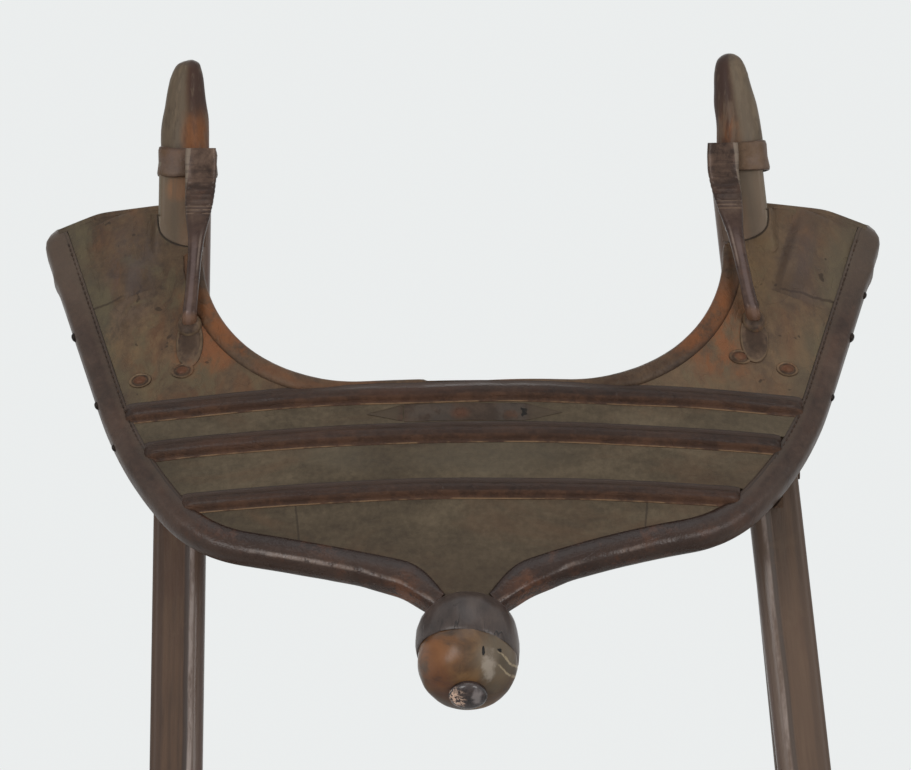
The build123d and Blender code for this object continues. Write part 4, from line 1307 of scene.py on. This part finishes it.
def brace_wear(net):
    """A pale outer bevel on the plate, dust in the cut rings, a dark rod with a painted sheen and a painted glint, and
    a worn orange foot.
    """
    outer, along = net.mark("across"), net.mark("along")
    plate = 1 - net.step(along, 0.33, 0.37)
    bevel = 0.44 + along * 1.5 + net.waver(0.16, 60, 3)
    side_face = net.step(outer - bevel, 0.0, 0.1) * plate
    net.lay(side_face * 0.75, 136, 122, 108)
    dusk = net.band(along, 0.37, 0.10, 0.09)
    net.lay(dusk * 0.45, 56, 41, 36)
    rings = net.band(along, 0.335, 0.0012, 0.0035)
    for at in (0.356, 0.377):
        rings = rings.high(net.band(along, at, 0.0012, 0.0035))
    rings = rings * net.blots(0.36, 0.5, 120, 3, 0.6, shift=(2, 5, 5))
    net.lay(rings * 0.55, 134, 112, 94)
    scores = net.blots(0.48, 0.54, 420, 2, 0.5, stretch=(0.05, 0.05, 1)) * net.band(along, 0.20, 0.12, 0.06)
    net.lay(scores * 0.35, 48, 36, 31)
    rod = net.step(along, 0.36, 0.5)
    net.lay(rod * 0.45, 70, 52, 48)
    # A painted sheen down the middle of the rod and a painted glint on its inner side.
    shine = net.band(outer + net.waver(0.4, 40, 3), 0.1, 0.12, 0.3) * net.step(along, 0.46, 0.6)
    glint = net.band(outer, -0.5, 0.06, 0.16) * net.band(along, 0.60, 0.05, 0.1)
    net.lay(shine * 0.4, 130, 113, 110)
    net.lay(glint * 0.35, 168, 150, 138)
    foot = net.step(along + net.waver(0.08, 70, 3), 0.92, 0.97)
    net.lay(foot * 0.45, 144, 108, 84)
    net.gloss += side_face * 0.2


def rivet_wear(net):
    """A pale ring and a rusty middle."""
    up = net.mark("along") + net.waver(0.3, 90, 4, 0.65, shift=(1, 2, 3))
    ring = net.band(up, 0.3, 0.06, 0.12) * net.blots(0.38, 0.54, 60, 4, 0.6, shift=(6, 6, 1))
    net.lay(ring * 0.4, 136, 114, 88)
    net.lay(net.band(up, 0.5, 0.04, 0.1) * 0.5, 50, 36, 28)
    net.lay(net.step(up, 0.6, 0.8) * 0.5, 104, 60, 38)


def foot_wear(net):
    """A pale rubbed rim round a dark middle."""
    up = net.mark("along") + net.waver(0.25, 70, 4, 0.65, shift=(1, 2, 3))
    broken = net.blots(0.40, 0.56, 45, 4, 0.6, shift=(6, 6, 1))
    net.lay(net.band(up, 0.3, 0.04, 0.12) * (0.15 + broken * 0.4), 124, 104, 80)
    net.lay(net.step(up, 0.6, 0.8) * 0.6, 56, 41, 32)


def plate_wear(net):
    """Grey places, rust by the small rivet, a split, tips that sink into the hide's colour, and a dark border."""
    x = net.axis("X")
    grey = (net.band(x, -0.024, 0.012, 0.008) + net.band(x, 0.034, 0.008, 0.006)).clamp()
    net.lay(grey * net.blots(0.36, 0.5, 60, 4, 0.6) * 0.35, 82, 77, 72)
    rusty = net.near((-0.003, -0.11, 0.429), 0.009, 0.4, (0.8, 0.3, 1.4))
    net.lay(rusty * 0.6, 98, 60, 42)
    split = net.near((0.0425, -0.11, 0.4287), 0.0042, 1.2, (1.5, 0.2, 0.7), 300)
    split = net.step(split, 0.1, 0.5)
    net.lay(split, 22, 17, 14)
    tips = net.step(x.size() + net.waver(0.01, 70, 3), 0.043, 0.050)
    net.lay(tips * 0.6, 82, 71, 57)
    edge = net.step(net.mark("across").size(), 0.95, 1.0)
    net.lay(edge * 0.3, 58, 48, 39)


def collar_wear(net):
    """A dull bloom on the collar's face and a dark line along both of its edges."""
    across = net.mark("across") + net.waver(0.5, 60, 3, 0.6)
    bloom = net.blots(0.46, 0.62, 38, 4, 0.6, shift=(2, 2, 9))
    net.lay(bloom * 0.35, 120, 104, 98)
    lower = 1 - net.step(across, -0.98, -0.8)
    net.lay(lower * 0.5, 70, 50, 38)
    net.lay(net.step(across, 0.84, 0.98) * 0.5, 60, 45, 38)


# %% The pommel's three finishes
def cup_finish():
    net = Finish("pommel_cup_hide")
    cloud = net.noise(40, 6, 0.62, stretch=(1.4, 1, 1), bend=0.5)
    long = net.noise(70, 4, 0.6, stretch=(1.6, 0.4, 0.4), shift=(2, 2, 2))
    net.ground(cloud * 0.6 + long * 0.4, (0.38, 0.52, 0.68), (52, 42, 39), (74, 62, 57), (96, 83, 75))
    mouth = net.step(net.mark("along"), 0.70, 0.80)
    net.lay(mouth * 0.4, 46, 34, 30)
    cuts = net.band(net.noise(32, 2, 0.5, stretch=(2.4, 0.5, 0.5), shift=(8, 1, 1)), 0.5, 0.002, 0.007)
    cuts = cuts * net.step(net.mark("along"), 0.45, 0.6)
    net.lay(cuts * 0.8, 22, 16, 14)
    net.gloss = 0.34 + (cloud - 0.5) * 0.4
    normal = net.bump(cloud + long * 0.6 - cuts, 0.45, 0.0018)
    return net.finish(normal, Specular_IOR_Level=0.4)


def dome_finish():
    net = Finish("pommel_dome_resin")
    swirl = net.noise(26, 6, 0.62, stretch=(1, 1, 1.4), bend=1.6)
    fleck = net.noise(160, 3, 0.6)
    net.ground(swirl * 0.8 + fleck * 0.2, (0.36, 0.50, 0.64), (62, 43, 28), (90, 63, 38), (118, 86, 52))
    glow = net.near((-0.027, -0.240, 0.262), 0.026, 0.7, (1, 1, 0.8)) * net.step(swirl, 0.40, 0.56)
    net.lay(glow * 0.65, 138, 82, 36)
    wine = net.near((-0.018, -0.240, 0.240), 0.02, 0.7)
    net.lay(wine * 0.45, 92, 54, 40)
    olive = net.near((0.024, -0.243, 0.258), 0.026, 0.6, (1.0, 1, 0.8))
    net.lay(olive * 0.7, 108, 96, 78)
    # A painted highlight on the dome's lower right.
    pale = net.near((0.0140, -0.247, 0.2550), 0.0080, 1.0, (1, 1, 0.62), 110)
    net.lay(pale * 0.6, 176, 164, 150)
    x, z = net.axis("X"), net.axis("Z")
    slant = z + x * 0.88 + net.waver(0.008, 70, 3, 0.6, shift=(6, 2, 2))
    recess = net.band(slant, 0.2782, 0.0020, 0.0030) * net.step(x, 0.019, 0.023)
    net.lay(recess * 0.6, 70, 58, 40)
    splinter = net.band(slant, 0.2826, 0.0004, 0.0009).high(net.band(slant, 0.2737, 0.0004, 0.0011))
    splinter = splinter * net.step(x, 0.019, 0.024) * net.blots(0.36, 0.52, 150, 3, 0.6, shift=(1, 9, 2))
    net.lay(splinter * 0.75, 180, 162, 132)
    hole = net.near((0.0228, -0.244, 0.2658), 0.0028, 0.8, (1.0, 0.5, 1.1), 300).high(
        net.near((0.0108, -0.249, 0.2650), 0.0032, 0.8, (2.4, 0.5, 0.8), 300))
    hole = net.step(hole, 0.1, 0.6)
    cracks = net.band(net.noise(24, 3, 0.6, shift=(1, 6, 3), bend=1.2), 0.5, 0.002, 0.006)
    cracks = (cracks * net.near((-0.002, -0.236, 0.286), 0.014, 0.5)).high(hole)
    net.lay(cracks, 12, 8, 6)
    dark_top = 1 - net.step(net.mark("along"), 0.05, 0.22)
    net.lay(dark_top * 0.35, 60, 42, 32)
    net.gloss = 0.34 + (swirl - 0.5) * 0.35 + olive * 0.15 + hole * 0.5
    normal = net.bump(swirl - cracks * 0.8 + fleck * 0.15, 0.4, 0.0016)
    return net.finish(normal, Coat_Weight=0.08, Coat_Roughness=0.2, Specular_IOR_Level=0.4)


def boss_finish():
    net = Finish("pommel_boss_char")
    cloud = net.noise(90, 5, 0.7)
    net.ground(cloud, (0.38, 0.54, 0.7), (32, 24, 25), (52, 41, 40), (76, 62, 58))
    spot = net.near((-0.0085, -0.2445, 0.2320), 0.0080, 0.8, (1, 0.6, 0.8), 200)
    specks = net.blots(0.46, 0.53, 440, 3, 0.6, shift=(4, 1, 1)) * spot
    # A painted highlight on the boss's right side.
    sheen = net.near((0.0060, -0.2445, 0.2335), 0.0062, 0.8, (1.2, 0.5, 0.8), 160)
    net.lay(sheen * 0.7, 150, 140, 138)
    net.lay(specks, 232, 196, 172)
    net.gloss = 0.2 + (cloud - 0.5) * 0.2
    return net.finish(net.bump(cloud, 0.3, 0.001), Specular_IOR_Level=0.6)


# %% Wood and iron by name
horn_carving = horn_finish()
post_paint = {side: post_finish(name, side) for name, side in SIDES.items()}
wood_across, wood_deep, wood_up = (seat_wood(f"seat_wood_{run}", run) for run in "XYZ")
collar_hide = hide("collar_hide", (72, 55, 42), (98, 77, 60), (118, 95, 74), (120, 80, 52), 0.35, 0.5,
                   wear=collar_wear)
brace_metal = iron("brace_metal", (62, 48, 41), (91, 72, 61), (118, 97, 83), (110, 74, 55), 0.3, 0.15, brace_wear)
foot_hide = iron("foot_hide", (62, 49, 41), (90, 72, 58), (114, 94, 76), (126, 82, 54), 0.5, 0.1, foot_wear)
rivet_metal = iron("rivet_metal", (48, 36, 28), (76, 58, 44), (116, 94, 72), (122, 74, 46), 0.44, 0.2, rivet_wear)
plate_metal = iron("plate_metal", (58, 46, 38), (74, 60, 50), (90, 74, 61), (94, 64, 48), 0.55, 0.0, plate_wear)
nail_metal = iron("nail_metal", (30, 24, 21), (44, 35, 30), (64, 52, 44), (78, 50, 38), 0.42, 0.4)
print("finishes:", len(bpy.data.materials))

# %% [markdown]
# ## Stitches and nails by Geometry Nodes
# What repeats along a seam is one small shape set on many points. Two trees do it here. The first turns a line into
# evenly spaced points and lays a stitch along each. The second sets a nail's head on given points, standing out of
# the surface in the direction that each point carries.


# %% A tree of geometry nodes, and how it is used up
class Growth(Net):
    """A geometry tree whose inputs are a mesh, named sizes and a material."""

    def __init__(self, name, *sizes):
        super().__init__(bpy.data.node_groups.new(name, "GeometryNodeTree"))
        kinds = {"Geometry": "Geometry", **dict.fromkeys(sizes, "Float"), "Material": "Material"}
        for label, kind in kinds.items():
            self.tree.interface.new_socket(label, in_out="INPUT", socket_type=f"NodeSocket{kind}")
        self.tree.interface.new_socket("Geometry", in_out="OUTPUT", socket_type="NodeSocketGeometry")
        inputs = self.tree.nodes.new("NodeGroupInput").outputs
        self.given = {label: Value(self, inputs[label]) for label in kinds}

    def ball(self, size, segments, rings):
        ball = self.node("GeometryNodeMeshUVSphere", {}, {"Segments": segments, "Rings": rings, "Radius": 1.0}, "Mesh")
        return self.node("GeometryNodeTransform", {}, {"Geometry": ball, "Scale": size})

    def varied(self, low, high, seed):
        """A size between two shares, with a fixed seed."""
        return self.node("FunctionNodeRandomValue", {"data_type": "FLOAT"}, {2: low, 3: high, "Seed": seed}, 1)

    def end(self, points, shape, turn, size):
        """Set the shape on the points, make it real, give it its material and pass it on."""
        values = {"Points": points, "Instance": shape, "Rotation": turn, "Scale": size}
        set_out = self.node("GeometryNodeInstanceOnPoints", {}, values)
        real = self.node("GeometryNodeRealizeInstances", {}, {"Geometry": set_out})
        done = self.node("GeometryNodeSetMaterial", {}, {"Geometry": real, "Material": self.given["Material"]})
        self.set(self.tree.nodes.new("NodeGroupOutput").inputs["Geometry"], done)
        return self.tree


def stitch_growth():
    growth = Growth("stitches_along_a_seam", "Spacing", "Length", "Width")
    given = growth.given
    curve = growth.node("GeometryNodeMeshToCurve", {}, {"Mesh": given["Geometry"]})
    spots = growth.node("GeometryNodeResampleCurve", {"mode": "LENGTH"}, {"Curve": curve, "Length": given["Spacing"]})
    heading = growth.node("GeometryNodeInputTangent", {}, {})
    turn = growth.node("FunctionNodeAlignRotationToVector", {"axis": "X"}, {"Vector": heading})
    size = growth.node("ShaderNodeCombineXYZ", {}, [given["Length"], given["Width"], given["Width"]])
    return growth.end(spots, growth.ball(size, 8, 6), turn, growth.varied(0.85, 1.12, 4))


def nail_growth():
    growth = Growth("heads_on_points", "Radius", "Height")
    given = growth.given
    out = growth.node("GeometryNodeInputNamedAttribute", {"data_type": "FLOAT_VECTOR"}, {"Name": "out"})
    turn = growth.node("FunctionNodeAlignRotationToVector", {"axis": "Z"}, {"Vector": out})
    size = growth.node("ShaderNodeCombineXYZ", {}, [given["Radius"], given["Radius"], given["Height"]])
    return growth.end(given["Geometry"], growth.ball(size, 12, 8), turn, growth.varied(0.85, 1.15, 7))


def grown(name, base, tree, sizes, material, slot):
    """Run a tree on a base mesh, keep the result as a plain mesh, and let the base go."""
    holder = linked("base", base)
    change = holder.modifiers.new("growth", "NODES")
    change.node_group = tree
    for item in tree.interface.items_tree:
        if item.in_out == "INPUT" and item.name != "Geometry":
            change[item.identifier] = material if item.name == "Material" else sizes[item.name]
    bpy.context.view_layer.update()
    mesh = bpy.data.meshes.new_from_object(holder.evaluated_get(bpy.context.evaluated_depsgraph_get()))
    holder.modifiers.remove(change)
    bpy.data.objects.remove(holder)
    mesh.name = name
    mesh.shade_smooth()
    piece(mesh, material, slot)


def line_mesh(line):
    mesh = bpy.data.meshes.new("line")
    mesh.from_pydata(line, [(i, i + 1) for i in range(len(line) - 1)], [])
    return mesh


def point_mesh(spots):
    """Points that carry the direction in which a head stands out."""
    mesh = bpy.data.meshes.new("points")
    mesh.from_pydata([place for place, _ in spots], [], [])
    out = mesh.attributes.new("out", "FLOAT_VECTOR", "POINT")
    out.data.foreach_set("vector", [c for _, direction in spots for c in direction])
    return mesh


# %% Stitches along the rims, nails in the rims, the plate and the seat
STITCH_SEAM = 16.7
STITCH = {"Spacing": 0.0046, "Length": 0.0017, "Width": 0.0006}
EDGE_NAIL, PLATE_NAIL, SLAT_NAIL = (0.0034, 0.0024), (0.0032, 0.0008), (0.0036, 0.0013)
EDGE_NAILS = {-1: (66, 2, -36), 1: (96, 56, 4)}
SLATS = [f"seat_slat_{number}" for number in range(1, 6)]


def stitch_places(side):
    """The rim's seam, a little lower where the rim begins to swell."""
    line = seam(side, STITCH_SEAM)[4:-8]
    return [on_apron(u, v, 3.0 - 0.9 * ramped(i, 60, 80)) for i, (u, v) in enumerate(line)]


def edge_spots():
    """Nails in the rim's outer side, at heights on the apron."""
    spots = []
    for side, heights in EDGE_NAILS.items():
        for v in heights:
            i = int(np.argmin(abs(edges[side][:, 1] - v)))
            u, at_v = edges[side][i] + inward[side][i] * 0.3
            direction = on_apron(u - inward[side][i][0] * 5, at_v - inward[side][i][1] * 5, -4) - on_apron(u, at_v, -4)
            spots.append((on_apron(u, at_v, -3.5), direction.normalized()))
    return spots


def slat_spots():
    """Two nails at each end of each slat."""
    spots = []
    for slat in SLATS:
        low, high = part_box(slat)
        spots += [(Vector((x, (low[1] + high[1]) / 2 + y, high[2])), Vector((0, 0, 1)))
                  for x in (low[0] + 0.02, high[0] - 0.02) for y in (-0.008, 0.008)]
    return spots


def make_small_things():
    stitches, nails = stitch_growth(), nail_growth()
    for name, side in SIDES.items():
        grown(f"rim_stitches_{name}", line_mesh(stitch_places(side)), stitches, STITCH, thread, "rim_leather")
    plate_spot = on_apron(-3.5, -PLATE_DROP, 2.4), apron_frame(0, 0, 0).to_3x3() @ Vector((0, 0, 1))
    for name, spots, (radius, height), metal in (("edge_nails", edge_spots(), EDGE_NAIL, nail_metal),
                                                 ("plate_rivet", [plate_spot], PLATE_NAIL, plate_metal),
                                                 ("slat_nails", slat_spots(), SLAT_NAIL, nail_metal)):
        grown(name, point_mesh(spots), nails, {"Radius": radius, "Height": height}, metal, "rivet_iron")


# %% Making the pieces
make_rims(rim_hide)
make_ribs(rib_hide)
make_lips(lip_hide)
make_hems(wing_hide)
make_folds(fold_hide)
make_plate(plate_metal)
make_gussets(gusset_hide)
make_tongues(post_paint)
make_horns(horn_carving)
make_collars(collar_hide)
make_braces(brace_metal)
make_pommel(cup_finish(), dome_finish(), boss_finish())
make_feet_and_rivets(foot_hide, rivet_metal)
make_small_things()

# %% [markdown]
# ## Dressing the solids that stay
# The covers, the board, the posts and the seat frame keep their solid shapes, which are right as they are. Each gets
# its finish in its material slot. The seat's wood has three materials, one for each direction of its grain.


# %% Dressing the solids
def dress(material, *nodes):
    for node in nodes:
        dressed(cad[node].data, material)


dress(band_hide, "cover_upper", "cover_middle", "cover_apron")
dress(board_hide, "apron_board", "pommel_neck")
dress(wood_across, "front_cross_bar", "back_cross_bar", *SLATS)
for name, side in SIDES.items():
    dress(wing_hide[side], f"wing_cover_{name}")
    dress(post_paint[side], f"post_{name}")
    dress(wood_deep, f"wing_block_{name}", f"side_rail_{name}")
    dress(wood_across, f"rail_pegs_{name}")
    dress(wood_up, f"back_leg_{name}")
print("bare solids:", sorted(name for name, obj in cad.items() if not obj.data.materials))
